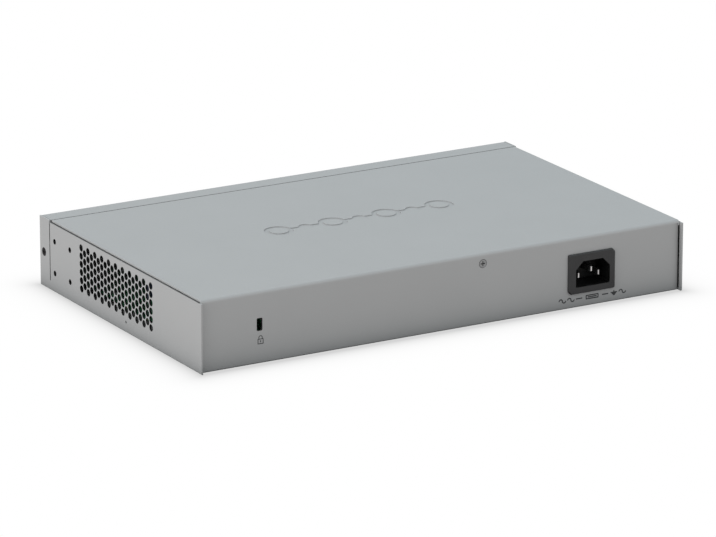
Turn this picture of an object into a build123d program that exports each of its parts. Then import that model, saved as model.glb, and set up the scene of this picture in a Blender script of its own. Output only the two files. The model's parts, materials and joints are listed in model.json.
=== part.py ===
"""Desktop network switch: a low sheet-metal case, ports in front, mains inlet behind.

X runs across the case, Y from the front face (-Y) to the rear (+Y), Z up from the feet.
All sizes are millimetres. Places are given as x, the distance behind the front face, and z.
"""

import os
from math import sqrt

from build123d import *

os.makedirs("parts", exist_ok=True)

# ---------------------------------------------------------------- driving dimensions
CASE_WIDTH = 330.0
CASE_DEPTH = 205.0
CASE_HEIGHT = 43.85
FOOT_PROUD = 0.1
SHEET = 1.0
BEND_OUTSIDE = 1.85
BEND_INSIDE = BEND_OUTSIDE - SHEET
CRISP_BEND = 0.8

SIDE = CASE_WIDTH / 2
FRONT = -CASE_DEPTH / 2
REAR = CASE_DEPTH / 2
BOTTOM = FOOT_PROUD
TOP = FOOT_PROUD + CASE_HEIGHT
FLOOR_TOP = BOTTOM + SHEET
ROOF_UNDERSIDE = TOP - SHEET
INNER_WALL = SIDE - SHEET

# front strip, cover and rear wall
STRIP_DEPTH = 13.0
SLIT_WIDTH = 0.85
SLIT_START = 6.0
PANEL_RETURN = STRIP_DEPTH - 0.25
WALL_STEP_DOWN = 1.2
REAR_WALL_SETBACK = 2.3
REAR_WALL = REAR - REAR_WALL_SETBACK
COVER_HALF_WIDTH = 163.75
REAR_WALL_HALF_WIDTH = 162.9
REAR_NOTCH_DROP = 3.0
COVER_SEAM = 0.8
REAR_WALL_BOTTOM = BOTTOM + 0.9
FLOOR_CLEAR_OF_REAR_WALL = 0.2
TONGUE_XS = (-120.0, -40.0, 40.0, 120.0)
TONGUE_WIDTH = 30.0
TONGUE_REACH = 6.0
TONGUE_ROOT = 4.0

# side wall holes
EAR_SPACING_Y = 20.1
EAR_SPACING_Z = 20.0
EAR_CENTRE_FROM_FRONT = 29.45
EAR_CENTRE_Z = BOTTOM + 22.0
EAR_HOLE_RADIUS = 1.75
VENT_PITCH = 5.12
VENT_COLUMN_PITCH = VENT_PITCH * sqrt(3) / 2
VENT_COLUMNS = 21
VENT_FIRST_COLUMN = 54.5
VENT_HOLE_RADIUS = 2.2
VENT_ROWS = 6
VENT_CENTRE_Z = BOTTOM + 24.5
TOOLING_HOLE = (111.4, BOTTOM + 6.5)
TOOLING_HOLE_RADIUS = 0.75

# screws
STRIP_SCREW = (5.1, BOTTOM + 22.1)
STRIP_SCREW_HEAD_RADIUS = 2.7
REAR_SCREW_X = -25.4
REAR_SCREW_Z = BOTTOM + 37.6
REAR_SCREW_HEAD_RADIUS = 2.75
HEAD_GAP = 0.3
M3_RADIUS = 1.5
M3_THREAD = 1.45
M3_CLEAR = 1.6
RECESS_WIDTH = 0.7

# rear lip of the tray
LIP_FRONT_GAP = 0.3
LIP_HEIGHT = 7.0
LIP_HALF_WIDTH = 157.0
LIP_TAB_WIDTH = 14.0

# feet
FOOT_CENTRES = ((-145.0, 18.0), (145.0, 18.0), (-145.0, 187.0), (145.0, 187.0))
FOOT_RADIUS = 6.5
FOOT_THICK = 1.0
FOOT_RECESS_RADIUS = 6.7
FOOT_BOSS_RADIUS = 7.7
FOOT_BOSS_RISE = 0.7

# chain of rings and dots pressed into the cover
CHAIN_CENTRE = 101.0
CHAIN_PITCH = 18.6
CHAIN_RING_XS = [CHAIN_PITCH * step for step in (-3, -1, 1, 3)]
CHAIN_DOT_XS = [CHAIN_PITCH * step for step in (-2, 0, 2)]
CHAIN_RING_OUTER = 9.0
CHAIN_RING_INNER = 5.8
CHAIN_DOT_RADIUS = 4.6
CHAIN_BAR_WIDTH = 3.0
CHAIN_DEPTH = 0.55

# anti-theft slot
LOCK_X = 125.5
LOCK_Z = BOTTOM + 23.9
LOCK_SIZE = (3.8, 7.8)
LOCK_PLATE_SIZE = (16.0, 20.0)

# mains inlet
INLET_X = -101.0
INLET_Z = BOTTOM + 21.45
INLET_FLANGE = (32.8, 24.8)
INLET_FLANGE_PROUD = 1.5
INLET_BODY = (27.2, 19.6)
INLET_CUTOUT = (27.6, 20.0)
INLET_DEPTH = 20.7
INLET_CAVITY = (24.0, 16.0)
INLET_CAVITY_X = -101.6
INLET_CAVITY_Z = BOTTOM + 21.0
INLET_CAVITY_CHAMFER = 5.0
INLET_CAVITY_DEPTH = 16.5
FLANGE_CHAMFER = 1.9
FLANGE_CORNER = 1.0
FLANGE_EDGE = 0.5
PIN_SIZE = (2.0, 4.0)
PIN_TAPER = (1.6, 0.6)
PIN_SPACING = 14.0
PIN_LINE_Z = BOTTOM + 18.8
PIN_EARTH_Z = BOTTOM + 22.7
PIN_TIP_DEPTH = 5.0
PIN_EARTH_TIP_DEPTH = 2.0
PIN_TAIL = 7.0
LEAD_RADIUS = 1.3
LEAD_BEND = 2.8

# printed circuit boards
STANDOFF_HEIGHT = 4.0
BOARD_THICK = 1.6
BOARD_BOTTOM = FLOOR_TOP + STANDOFF_HEIGHT
BOARD_TOP = BOARD_BOTTOM + BOARD_THICK
STANDOFF_FLATS_RADIUS = 3.1
SCREW_HEAD_RADIUS = 2.75
SCREW_HEAD_HEIGHT = 1.8
MAIN_STRIP = (-156.0, 150.0, 2.0, 62.0)
MAIN_REAR = (-48.0, 150.0, 62.0, 165.0)
MAIN_SCREWS = (
    (-152.0, 54.0), (-100.0, 20.0), (-9.0, 13.0), (132.0, 13.0), (-44.0, 58.0),
    (144.0, 60.0), (-42.0, 158.0), (50.0, 160.0), (144.0, 158.0),
)
PSU_AREA = (-138.0, -58.0, 95.0, 179.0)
PSU_SCREWS = ((-133.5, 99.5), (-62.5, 99.5), (-133.5, 174.5), (-62.5, 174.5))
INSULATOR_THICK = 0.4
INSULATOR_MARGIN = 1.0

# stacked port blocks
BLOCK_CENTRES = {"left": -42.0, "right": 24.0}
BLOCK_WIDTH = 57.0
BLOCK_HEIGHT = 26.6
BLOCK_DEPTH = 25.4
BLOCK_GAP = 0.3
JACK_FRONT = 0.1
SHIELD_SHEET = 0.25
PORT_PITCH = 13.97
PORT_COLUMNS = (-1.5, -0.5, 0.5, 1.5)
PORT_SIZE = (11.8, 8.3)
PORT_DEPTH = 17.0
PORT_INNER_EDGE = 1.4
LATCH_SIZE = (6.2, 1.8)
LAMP_SIZE = (2.4, 3.0, 1.5)
LAMP_OFFSET_X = 4.7
LAMP_OFFSET_Z = 11.0
CONTACT_COUNT = 8
CONTACT_PITCH = 1.016
CONTACT_SIZE = (0.4, 11.0, 0.3)
CONTACT_TILT = 12.0
CONTACT_CENTRE = (9.5, 1.7)

# uplink cages
CAGE_XS = (84.0, 102.5)
CAGE_SIZE = (14.3, 47.0, 9.9)
CAGE_SHEET = 0.3
CAGE_WINDOW = (12.6, 11.6)
CAGE_CONNECTOR = (12.0, 11.0, 7.6)
CAGE_CONNECTOR_CENTRE = 40.0
CAGE_SLOT = (9.6, 7.0, 1.4)

# status lights and buttons
LIGHT_XS = (-146.0, -139.0, -132.0, -125.0, -118.0)
LIGHT_Z = 30.0
LIGHT_RADIUS = 1.1
LIGHT_RUN = 16.0
LIGHT_BEND = 3.0
LED_SIZE = (2.0, 2.0, 0.8)
LIGHT_BAR = (38.0, 5.0, 6.0)
BUTTONS = {"mode": (-142.0, 2.0), "reset": (-128.0, 1.3)}
BUTTON_Z = 14.0
BUTTON_HOLE_CLEAR = 0.3
BUTTON_COLLAR_EXTRA = 1.2
BUTTON_COLLAR = (1.3, 0.8)
BUTTON_STEM_RADIUS = 1.1
BUTTON_STEM_END = 6.9
SWITCH_FRONT = 6.0
SWITCH_SIZE = (7.0, 6.0, 10.5)
SWITCH_BORE_DEPTH = 2.6

# fan
FAN_SIZE = 40.0
FAN_THICK = 20.0
FAN_CENTRE = (98.75, 21.7)
FAN_WALL_GAP = 0.3
FAN_BORE_RADIUS = 18.9
FAN_HOLE_SPACING = 32.0
FAN_MOUNT_RADIUS = 8.5
FAN_MOUNT_THICK = 2.5
FAN_STRUT_WIDTH = 2.0
FAN_BEARING = (3.0, 12.0)
FAN_SHAFT_RADIUS = 1.0
FAN_SHAFT_CLEAR = 0.05
ROTOR_RADIUS = 9.0
ROTOR_WALL = 1.2
ROTOR_LENGTH = 15.0
BLADE_COUNT = 7
BLADE_TIP = 18.0
BLADE_CHORD = 11.0
BLADE_THICK = 1.0
BLADE_PITCH = 42.0

CENTRED_BASE = (Align.CENTER, Align.CENTER, Align.MIN)


def behind(distance):
    """Y of a place at this distance behind the front face."""
    return FRONT + distance


def brick(at, bottom, size, mode=Mode.ADD):
    """Adds an upright box centred at (x, distance behind the front) on a level."""
    with Locations((at[0], behind(at[1]), bottom)):
        Box(*size, align=CENTRED_BASE, mode=mode)


def span(xs, depths, zs, mode=Mode.ADD):
    """Adds a box between two x values, two depths behind the front and two levels."""
    with Locations(((xs[0] + xs[1]) / 2, behind((depths[0] + depths[1]) / 2), zs[0])):
        Box(xs[1] - xs[0], depths[1] - depths[0], zs[1] - zs[0], align=CENTRED_BASE, mode=mode)


def post(at, bottom, radius, height, mode=Mode.ADD):
    """Adds an upright cylinder centred at (x, distance behind the front) on a level."""
    with Locations((at[0], behind(at[1]), bottom)):
        Cylinder(radius, height, align=CENTRED_BASE, mode=mode)


def pan_screws(places, underside):
    """Adds pan-head screws with crossed recesses, threads down through the standoffs."""
    for place in places:
        post(place, underside, SCREW_HEAD_RADIUS, SCREW_HEAD_HEIGHT)
        post(place, underside - BOARD_THICK - STANDOFF_HEIGHT + 0.5, M3_THREAD,
             BOARD_THICK + STANDOFF_HEIGHT - 0.5)
        recess_floor = underside + SCREW_HEAD_HEIGHT / 2
        brick(place, recess_floor, (3.0, RECESS_WIDTH, SCREW_HEAD_HEIGHT), mode=Mode.SUBTRACT)
        brick(place, recess_floor, (RECESS_WIDTH, 3.0, SCREW_HEAD_HEIGHT), mode=Mode.SUBTRACT)


def countersunk_screw(head_radius, length):
    """Adds a countersunk screw on the active plane, head flush, shank going inwards."""
    with Locations((0, 0, -SHEET / 2)):
        Cone(M3_THREAD, head_radius, SHEET)
    with Locations((0, 0, -length)):
        Cylinder(M3_THREAD, length - SHEET / 2, align=CENTRED_BASE)
    for size in ((2 * head_radius * 0.62, RECESS_WIDTH), (RECESS_WIDTH, 2 * head_radius * 0.62)):
        Box(size[0], size[1], SHEET, mode=Mode.SUBTRACT)


def vent_places(clear_of):
    """Hexagonal close grid of (distance behind the front, z), skipping screw places."""
    places = []
    for column in range(VENT_COLUMNS):
        rows = VENT_ROWS - column % 2
        depth = VENT_FIRST_COLUMN + column * VENT_COLUMN_PITCH
        for row in range(rows):
            z = VENT_CENTRE_Z + (row - (rows - 1) / 2) * VENT_PITCH
            near = [p for p in clear_of if abs(p[0] - depth) < 4.2 and abs(p[1] - z) < 4.2]
            if not near:
                places.append((depth, z))
    return places


def port_places(block_x):
    """Centre x and row direction, +1 above and -1 below, of each port in a block."""
    return [(block_x + column * PORT_PITCH, row) for column in PORT_COLUMNS for row in (1, -1)]


FAN_SCREW_PLACES = [
    (FAN_CENTRE[0] + a * FAN_HOLE_SPACING / 2, FAN_CENTRE[1] + b * FAN_HOLE_SPACING / 2)
    for a in (-1, 1) for b in (-1, 1)
]
EAR_PLACES = [
    (EAR_CENTRE_FROM_FRONT + a * EAR_SPACING_Y / 2, EAR_CENTRE_Z + b * EAR_SPACING_Z / 2)
    for a in (-1, 1) for b in (-1, 1)
]

# ---------------------------------------------------------------- enclosure
with BuildPart() as base_tray:
    with BuildSketch(Plane.XZ.offset(-REAR)):
        with Locations((0, BOTTOM)):
            Rectangle(CASE_WIDTH, CASE_HEIGHT, align=(Align.CENTER, Align.MIN))
        fillet(vertices().group_by(Axis.Y)[0], CRISP_BEND)
        with Locations((0, FLOOR_TOP)):
            Rectangle(2 * INNER_WALL, CASE_HEIGHT, align=(Align.CENTER, Align.MIN), mode=Mode.SUBTRACT)
    extrude(amount=CASE_DEPTH)
    # the side walls step down behind the front strips, and the floor stops inside the rear wall
    floor_end = CASE_DEPTH - REAR_WALL_SETBACK - SHEET - FLOOR_CLEAR_OF_REAR_WALL
    span((-SIDE, SIDE), (STRIP_DEPTH, CASE_DEPTH), (TOP - WALL_STEP_DOWN, TOP), mode=Mode.SUBTRACT)
    span((-INNER_WALL, INNER_WALL),
         (floor_end, CASE_DEPTH), (0, FLOOR_TOP), mode=Mode.SUBTRACT)
    for side in (-1, 1):
        wall_xs = sorted((side * (INNER_WALL - 0.1), side * (SIDE + 0.1)))
        span(wall_xs, (STRIP_DEPTH - SLIT_WIDTH / 2, STRIP_DEPTH + SLIT_WIDTH / 2),
             (BOTTOM + SLIT_START, TOP), mode=Mode.SUBTRACT)
        outside = Plane(origin=(side * SIDE, 0, 0), x_dir=(0, side, 0), z_dir=(side, 0, 0))
        taken = FAN_SCREW_PLACES if side < 0 else []
        with BuildSketch(outside):
            with Locations([(side * behind(y), z) for y, z in vent_places(taken)]):
                Circle(VENT_HOLE_RADIUS)
            with Locations([(side * behind(y), z) for y, z in EAR_PLACES]):
                Circle(EAR_HOLE_RADIUS)
            with Locations([(side * behind(y), z) for y, z in taken]):
                Circle(M3_RADIUS)
            with Locations((side * behind(TOOLING_HOLE[0]), TOOLING_HOLE[1])):
                Circle(TOOLING_HOLE_RADIUS)
        extrude(amount=-2 * SHEET, mode=Mode.SUBTRACT)
        with BuildSketch(outside):
            with Locations((side * behind(STRIP_SCREW[0]), STRIP_SCREW[1])):
                Circle(STRIP_SCREW_HEAD_RADIUS)
        with BuildSketch(outside.offset(-SHEET)):
            with Locations((side * behind(STRIP_SCREW[0]), STRIP_SCREW[1])):
                Circle(M3_RADIUS)
        loft(mode=Mode.SUBTRACT)
    # upright lip inside the rear wall, with a tall tab for the cover screw
    lip_back = REAR_WALL - SHEET - LIP_FRONT_GAP
    lip_depths = (lip_back - SHEET - FRONT, lip_back - FRONT)
    span((-LIP_HALF_WIDTH, LIP_HALF_WIDTH), lip_depths, (FLOOR_TOP, FLOOR_TOP + LIP_HEIGHT))
    span((REAR_SCREW_X - LIP_TAB_WIDTH / 2, REAR_SCREW_X + LIP_TAB_WIDTH / 2), lip_depths,
         (FLOOR_TOP, REAR_SCREW_Z + 4.0))
    with Locations(Plane(origin=(REAR_SCREW_X, lip_back, REAR_SCREW_Z), z_dir=(0, 1, 0))):
        Cylinder(M3_RADIUS, 4 * SHEET, mode=Mode.SUBTRACT)
    # shallow pressed recesses that hold the feet
    for place in FOOT_CENTRES:
        post(place, FLOOR_TOP, FOOT_BOSS_RADIUS, FOOT_BOSS_RISE)
        post(place, 0, FOOT_RECESS_RADIUS, FOOT_THICK + 0.02, mode=Mode.SUBTRACT)
base_tray.part.label = "base_tray"
export_step(base_tray.part, "parts/base_tray.step")

with BuildPart() as top_cover:
    cover_front = behind(PANEL_RETURN + COVER_SEAM)
    with BuildSketch(Plane.YZ.offset(-COVER_HALF_WIDTH)):
        with BuildLine():
            Polyline(
                (cover_front, TOP), (REAR_WALL, TOP), (REAR_WALL, REAR_WALL_BOTTOM),
                (REAR_WALL - SHEET, REAR_WALL_BOTTOM), (REAR_WALL - SHEET, ROOF_UNDERSIDE),
                (cover_front, ROOF_UNDERSIDE), close=True,
            )
        make_face()
        fillet(vertices().sort_by_distance((REAR_WALL, TOP))[0], BEND_OUTSIDE)
        fillet(vertices().sort_by_distance((REAR_WALL - SHEET, ROOF_UNDERSIDE))[0], BEND_INSIDE)
    extrude(amount=2 * COVER_HALF_WIDTH)
    # the rear wall is a little narrower than the roof
    for side in (-1, 1):
        span(sorted((side * REAR_WALL_HALF_WIDTH, side * SIDE)), (REAR_WALL - 2 * SHEET - FRONT, CASE_DEPTH),
             (0, TOP - REAR_NOTCH_DROP), mode=Mode.SUBTRACT)
    for x in TONGUE_XS:
        span((x - TONGUE_WIDTH / 2, x + TONGUE_WIDTH / 2),
             (STRIP_DEPTH - TONGUE_REACH, STRIP_DEPTH + TONGUE_ROOT),
             (ROOF_UNDERSIDE - SHEET, ROOF_UNDERSIDE))
    # rings and dots joined by bars, pressed down into the roof
    with BuildSketch(Plane.XY.offset(TOP)):
        with Locations((0, behind(CHAIN_CENTRE))):
            Rectangle(CHAIN_RING_XS[-1] - CHAIN_RING_XS[0], CHAIN_BAR_WIDTH)
        with Locations([(x, behind(CHAIN_CENTRE)) for x in CHAIN_RING_XS]):
            Circle(CHAIN_RING_OUTER)
            Circle(CHAIN_RING_INNER, mode=Mode.SUBTRACT)
        with Locations([(x, behind(CHAIN_CENTRE)) for x in CHAIN_DOT_XS]):
            Circle(CHAIN_DOT_RADIUS)
    extrude(amount=-CHAIN_DEPTH, mode=Mode.SUBTRACT)
    rear_plane = Plane(origin=(0, REAR_WALL, 0), x_dir=(-1, 0, 0), z_dir=(0, 1, 0))
    with BuildSketch(rear_plane):
        with Locations((-INLET_X, INLET_Z)):
            Rectangle(*INLET_CUTOUT)
        with Locations((-LOCK_X, LOCK_Z)):
            RectangleRounded(*LOCK_SIZE, 0.9)
    extrude(amount=-2 * SHEET, mode=Mode.SUBTRACT)
    with BuildSketch(rear_plane):
        with Locations((-REAR_SCREW_X, REAR_SCREW_Z)):
            Circle(REAR_SCREW_HEAD_RADIUS)
    with BuildSketch(rear_plane.offset(-SHEET)):
        with Locations((-REAR_SCREW_X, REAR_SCREW_Z)):
            Circle(M3_RADIUS)
    loft(mode=Mode.SUBTRACT)
top_cover.part.label = "top_cover"
export_step(top_cover.part, "parts/top_cover.step")

PANEL_HALF_WIDTH = INNER_WALL - 0.3
PANEL_BOTTOM = FLOOR_TOP + 0.3
PANEL_LEDGE = 9.0
PANEL_TAB_DEPTH = 10.5
PANEL_TAB_LEVELS = (11.0, 33.0)
with BuildPart() as front_panel:
    with BuildSketch(Plane.YZ.offset(-PANEL_HALF_WIDTH)):
        with BuildLine():
            Polyline(
                (FRONT, PANEL_BOTTOM), (FRONT, TOP), (behind(PANEL_RETURN), TOP),
                (behind(PANEL_RETURN), ROOF_UNDERSIDE), (behind(SHEET), ROOF_UNDERSIDE),
                (behind(SHEET), PANEL_BOTTOM + SHEET), (behind(PANEL_LEDGE), PANEL_BOTTOM + SHEET),
                (behind(PANEL_LEDGE), PANEL_BOTTOM), close=True,
            )
        make_face()
        for corner in ((FRONT, TOP), (FRONT, PANEL_BOTTOM)):
            fillet(vertices().sort_by_distance(corner)[0], CRISP_BEND)
    extrude(amount=2 * PANEL_HALF_WIDTH)
    for side in (-1, 1):
        tab_xs = sorted((side * (PANEL_HALF_WIDTH - SHEET), side * PANEL_HALF_WIDTH))
        span(tab_xs, (SHEET, PANEL_TAB_DEPTH), PANEL_TAB_LEVELS)
        tab_plane = Plane(origin=(side * PANEL_HALF_WIDTH, behind(STRIP_SCREW[0]), STRIP_SCREW[1]),
                          z_dir=(side, 0, 0))
        with Locations(tab_plane):
            Cylinder(M3_RADIUS, 4 * SHEET, mode=Mode.SUBTRACT)
    face_plane = Plane(origin=(0, FRONT, 0), x_dir=(1, 0, 0), z_dir=(0, -1, 0))
    with BuildSketch(face_plane):
        for x in BLOCK_CENTRES.values():
            with Locations((x, BOARD_TOP + BLOCK_HEIGHT / 2)):
                Rectangle(BLOCK_WIDTH + 2 * BLOCK_GAP, BLOCK_HEIGHT + 2 * BLOCK_GAP)
        for x in CAGE_XS:
            with Locations((x, BOARD_TOP + CAGE_SIZE[2] / 2)):
                Rectangle(CAGE_SIZE[0] + 2 * BLOCK_GAP, CAGE_SIZE[2] + 2 * BLOCK_GAP)
        with Locations([(x, LIGHT_Z) for x in LIGHT_XS]):
            Circle(LIGHT_RADIUS + 0.1)
        for x, radius in BUTTONS.values():
            with Locations((x, BUTTON_Z)):
                Circle(radius + BUTTON_HOLE_CLEAR)
    extrude(amount=-2 * SHEET, mode=Mode.SUBTRACT)
front_panel.part.label = "front_panel"
export_step(front_panel.part, "parts/front_panel.step")

BRACKET_DEPTHS = (30.0, 155.0, 190.0)
BRACKET_LENGTH = 8.0
with BuildPart() as cover_rest_brackets:
    for side in (-1, 1):
        for depth in BRACKET_DEPTHS:
            lengths = (depth - BRACKET_LENGTH / 2, depth + BRACKET_LENGTH / 2)
            leg = sorted((side * (INNER_WALL - SHEET), side * INNER_WALL))
            ledge = sorted((side * (INNER_WALL - 7.0), side * INNER_WALL))
            pad = sorted((side * (INNER_WALL - 7.0), side * (COVER_HALF_WIDTH - 0.4)))
            span(leg, lengths, (34.0, ROOF_UNDERSIDE - SHEET))
            span(ledge, lengths, (ROOF_UNDERSIDE - 2 * SHEET, ROOF_UNDERSIDE - SHEET))
            span(pad, lengths, (ROOF_UNDERSIDE - SHEET, ROOF_UNDERSIDE))
cover_rest_brackets.part.label = "cover_rest_brackets"
export_step(cover_rest_brackets.part, "parts/cover_rest_brackets.step")

screw_plane = Plane(origin=(REAR_SCREW_X, REAR_WALL, REAR_SCREW_Z), x_dir=(-1, 0, 0), z_dir=(0, 1, 0))
with BuildPart(screw_plane) as cover_screw:
    countersunk_screw(REAR_SCREW_HEAD_RADIUS - HEAD_GAP, 7.0)
cover_screw.part.label = "cover_screw"
export_step(cover_screw.part, "parts/cover_screw.step")

strip_screw_planes = [
    Plane(origin=(side * SIDE, behind(STRIP_SCREW[0]), STRIP_SCREW[1]), x_dir=(0, side, 0), z_dir=(side, 0, 0))
    for side in (-1, 1)
]
with BuildPart(*strip_screw_planes) as front_panel_screws:
    countersunk_screw(STRIP_SCREW_HEAD_RADIUS, 5.0)
front_panel_screws.part.label = "front_panel_screws"
export_step(front_panel_screws.part, "parts/front_panel_screws.step")

lock_plane = Plane(origin=(LOCK_X, REAR_WALL - SHEET, LOCK_Z), x_dir=(-1, 0, 0), z_dir=(0, 1, 0))
with BuildPart() as lock_plate:
    with BuildSketch(lock_plane):
        RectangleRounded(*LOCK_PLATE_SIZE, 2.0)
        RectangleRounded(LOCK_SIZE[0] + 0.2, LOCK_SIZE[1] + 0.2, 1.0, mode=Mode.SUBTRACT)
    extrude(amount=-SHEET)
lock_plate.part.label = "lock_plate"
export_step(lock_plate.part, "parts/lock_plate.step")

with BuildPart() as rubber_feet:
    for place in FOOT_CENTRES:
        post(place, 0, FOOT_RADIUS, FOOT_THICK)
    fillet(faces().sort_by(Axis.Z)[:len(FOOT_CENTRES)].edges(), 0.2)
rubber_feet.part.label = "rubber_feet"
export_step(rubber_feet.part, "parts/rubber_feet.step")

# ---------------------------------------------------------------- mains inlet
inlet_face = Plane(origin=(0, REAR_WALL + INLET_FLANGE_PROUD, 0), x_dir=(-1, 0, 0), z_dir=(0, 1, 0))
pin_places = (
    (INLET_CAVITY_X - PIN_SPACING / 2, PIN_LINE_Z, PIN_TIP_DEPTH),
    (INLET_CAVITY_X + PIN_SPACING / 2, PIN_LINE_Z, PIN_TIP_DEPTH),
    (INLET_CAVITY_X, PIN_EARTH_Z, PIN_EARTH_TIP_DEPTH),
)
with BuildPart() as inlet_housing:
    with BuildSketch(inlet_face):
        with Locations((-INLET_X, INLET_Z)):
            Rectangle(*INLET_FLANGE)
        half_w, half_h = INLET_FLANGE[0] / 2, INLET_FLANGE[1] / 2
        for across, up in ((1, 1), (-1, -1)):
            corner = (-INLET_X + across * half_w, INLET_Z + up * half_h)
            chamfer(vertices().sort_by_distance(corner)[0], FLANGE_CHAMFER)
        for across, up in ((-1, 1), (1, -1)):
            corner = (-INLET_X + across * half_w, INLET_Z + up * half_h)
            fillet(vertices().sort_by_distance(corner)[0], FLANGE_CORNER)
    extrude(amount=-INLET_FLANGE_PROUD)
    chamfer(faces().sort_by(Axis.Y)[-1].edges(), FLANGE_EDGE)
    with BuildSketch(inlet_face):
        with Locations((-INLET_X, INLET_Z)):
            Rectangle(*INLET_BODY)
    extrude(amount=-INLET_DEPTH)
    with BuildSketch(inlet_face):
        with Locations((-INLET_CAVITY_X, INLET_CAVITY_Z)):
            Rectangle(*INLET_CAVITY)
        chamfer(vertices().group_by(Axis.Y)[-1], INLET_CAVITY_CHAMFER)
        fillet(vertices().group_by(Axis.Y)[0], 1.0)
    extrude(amount=-INLET_CAVITY_DEPTH, mode=Mode.SUBTRACT)
    with BuildSketch(inlet_face):
        with Locations([(-x, z) for x, z, _ in pin_places]):
            Rectangle(PIN_SIZE[0] + 0.02, PIN_SIZE[1] + 0.02)
    extrude(amount=-2 * INLET_DEPTH, mode=Mode.SUBTRACT)
inlet_housing.part.label = "inlet_housing"
export_step(inlet_housing.part, "parts/inlet_housing.step")

with BuildPart() as inlet_pins:
    for x, z, tip in pin_places:
        with BuildSketch(inlet_face.offset(-tip)):
            with Locations((-x, z)):
                Rectangle(*PIN_SIZE)
        extrude(amount=-(INLET_DEPTH + PIN_TAIL - tip))
        tip_y = REAR_WALL + INLET_FLANGE_PROUD - tip
        tip_face = faces().filter_by(Axis.Y).sort_by_distance((x, tip_y, z))[0]
        chamfer(tip_face.edges(), PIN_TAPER[1], PIN_TAPER[0], reference=tip_face)
inlet_pins.part.label = "inlet_pins"
export_step(inlet_pins.part, "parts/inlet_pins.step")

AC_CONNECTOR = (-101.6, 166.0)
AC_CONNECTOR_SIZE = (22.0, 8.0, 8.5)
with BuildPart() as inlet_leads:
    connector_top = BOARD_TOP + AC_CONNECTOR_SIZE[2]
    start_y = REAR_WALL + INLET_FLANGE_PROUD - INLET_DEPTH - PIN_TAIL
    for x, z, _ in pin_places:
        with BuildLine() as route:
            FilletPolyline((x, start_y, z), (x, behind(AC_CONNECTOR[1]), z),
                           (x, behind(AC_CONNECTOR[1]), connector_top), radius=LEAD_BEND)
        with BuildSketch(Plane(origin=(x, start_y, z), z_dir=(0, -1, 0))):
            Circle(LEAD_RADIUS)
        sweep(path=route.line)
inlet_leads.part.label = "inlet_leads"
export_step(inlet_leads.part, "parts/inlet_leads.step")

# ---------------------------------------------------------------- power supply
psu_centre = ((PSU_AREA[0] + PSU_AREA[1]) / 2, (PSU_AREA[2] + PSU_AREA[3]) / 2)
with BuildPart() as psu_board:
    span(PSU_AREA[:2], PSU_AREA[2:], (BOARD_BOTTOM, BOARD_TOP))
    fillet(edges().filter_by(Axis.Z), 2.0)
    for place in PSU_SCREWS:
        post(place, BOARD_BOTTOM, M3_CLEAR, BOARD_THICK, mode=Mode.SUBTRACT)
psu_board.part.label = "psu_board"
export_step(psu_board.part, "parts/psu_board.step")

with BuildPart() as psu_insulator:
    span((PSU_AREA[0] - INSULATOR_MARGIN, PSU_AREA[1] + INSULATOR_MARGIN),
         (PSU_AREA[2] - INSULATOR_MARGIN, PSU_AREA[3] + INSULATOR_MARGIN),
         (FLOOR_TOP, FLOOR_TOP + INSULATOR_THICK))
    for place in PSU_SCREWS:
        post(place, FLOOR_TOP, STANDOFF_FLATS_RADIUS + 1.0, INSULATOR_THICK, mode=Mode.SUBTRACT)
psu_insulator.part.label = "psu_insulator"
export_step(psu_insulator.part, "parts/psu_insulator.step")


def hex_standoffs(places):
    """Adds threaded hexagonal standoffs on the floor."""
    with BuildSketch(Plane.XY.offset(FLOOR_TOP)) as section:
        with Locations([(x, behind(y)) for x, y in places]):
            RegularPolygon(STANDOFF_FLATS_RADIUS, 6)
            Circle(M3_RADIUS, mode=Mode.SUBTRACT)
    extrude(section.sketch, amount=STANDOFF_HEIGHT)


with BuildPart() as board_standoffs:
    hex_standoffs(PSU_SCREWS + MAIN_SCREWS)
board_standoffs.part.label = "board_standoffs"
export_step(board_standoffs.part, "parts/board_standoffs.step")

with BuildPart() as board_screws:
    pan_screws(PSU_SCREWS + MAIN_SCREWS, BOARD_TOP)
board_screws.part.label = "board_screws"
export_step(board_screws.part, "parts/board_screws.step")

with BuildPart() as psu_ac_connector:
    brick(AC_CONNECTOR, BOARD_TOP, AC_CONNECTOR_SIZE)
    chamfer(edges().group_by(Axis.Z)[-1], 0.6)
psu_ac_connector.part.label = "psu_ac_connector"
export_step(psu_ac_connector.part, "parts/psu_ac_connector.step")

DC_CONNECTOR = (-63.5, 109.5)
POWER_HEADER = (-36.0, 109.5)
DC_CONNECTOR_SIZE = (8.0, 11.0, 9.0)
with BuildPart() as psu_dc_connector:
    brick(DC_CONNECTOR, BOARD_TOP, DC_CONNECTOR_SIZE)
    chamfer(edges().group_by(Axis.Z)[-1], 0.6)
psu_dc_connector.part.label = "psu_dc_connector"
export_step(psu_dc_connector.part, "parts/psu_dc_connector.step")

FUSE_AT = (-70.0, 158.0)
FUSE_RADIUS = 2.6
FUSE_LENGTH = 20.0
with BuildPart() as psu_fuse:
    fuse_z = BOARD_TOP + FUSE_RADIUS + 1.2
    with Locations(Plane(origin=(FUSE_AT[0], behind(FUSE_AT[1]), fuse_z), z_dir=(0, 1, 0))):
        Cylinder(FUSE_RADIUS - 0.3, FUSE_LENGTH)
    for end in (-1, 1):
        cap_y = behind(FUSE_AT[1] + end * (FUSE_LENGTH / 2 - 2.5))
        with Locations(Plane(origin=(FUSE_AT[0], cap_y, fuse_z), z_dir=(0, 1, 0))):
            Cylinder(FUSE_RADIUS, 5.0)
        brick((FUSE_AT[0], FUSE_AT[1] + end * (FUSE_LENGTH / 2 - 2.5)), BOARD_TOP, (3.6, 1.2, 4.0))
psu_fuse.part.label = "psu_fuse"
export_step(psu_fuse.part, "parts/psu_fuse.step")

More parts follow.
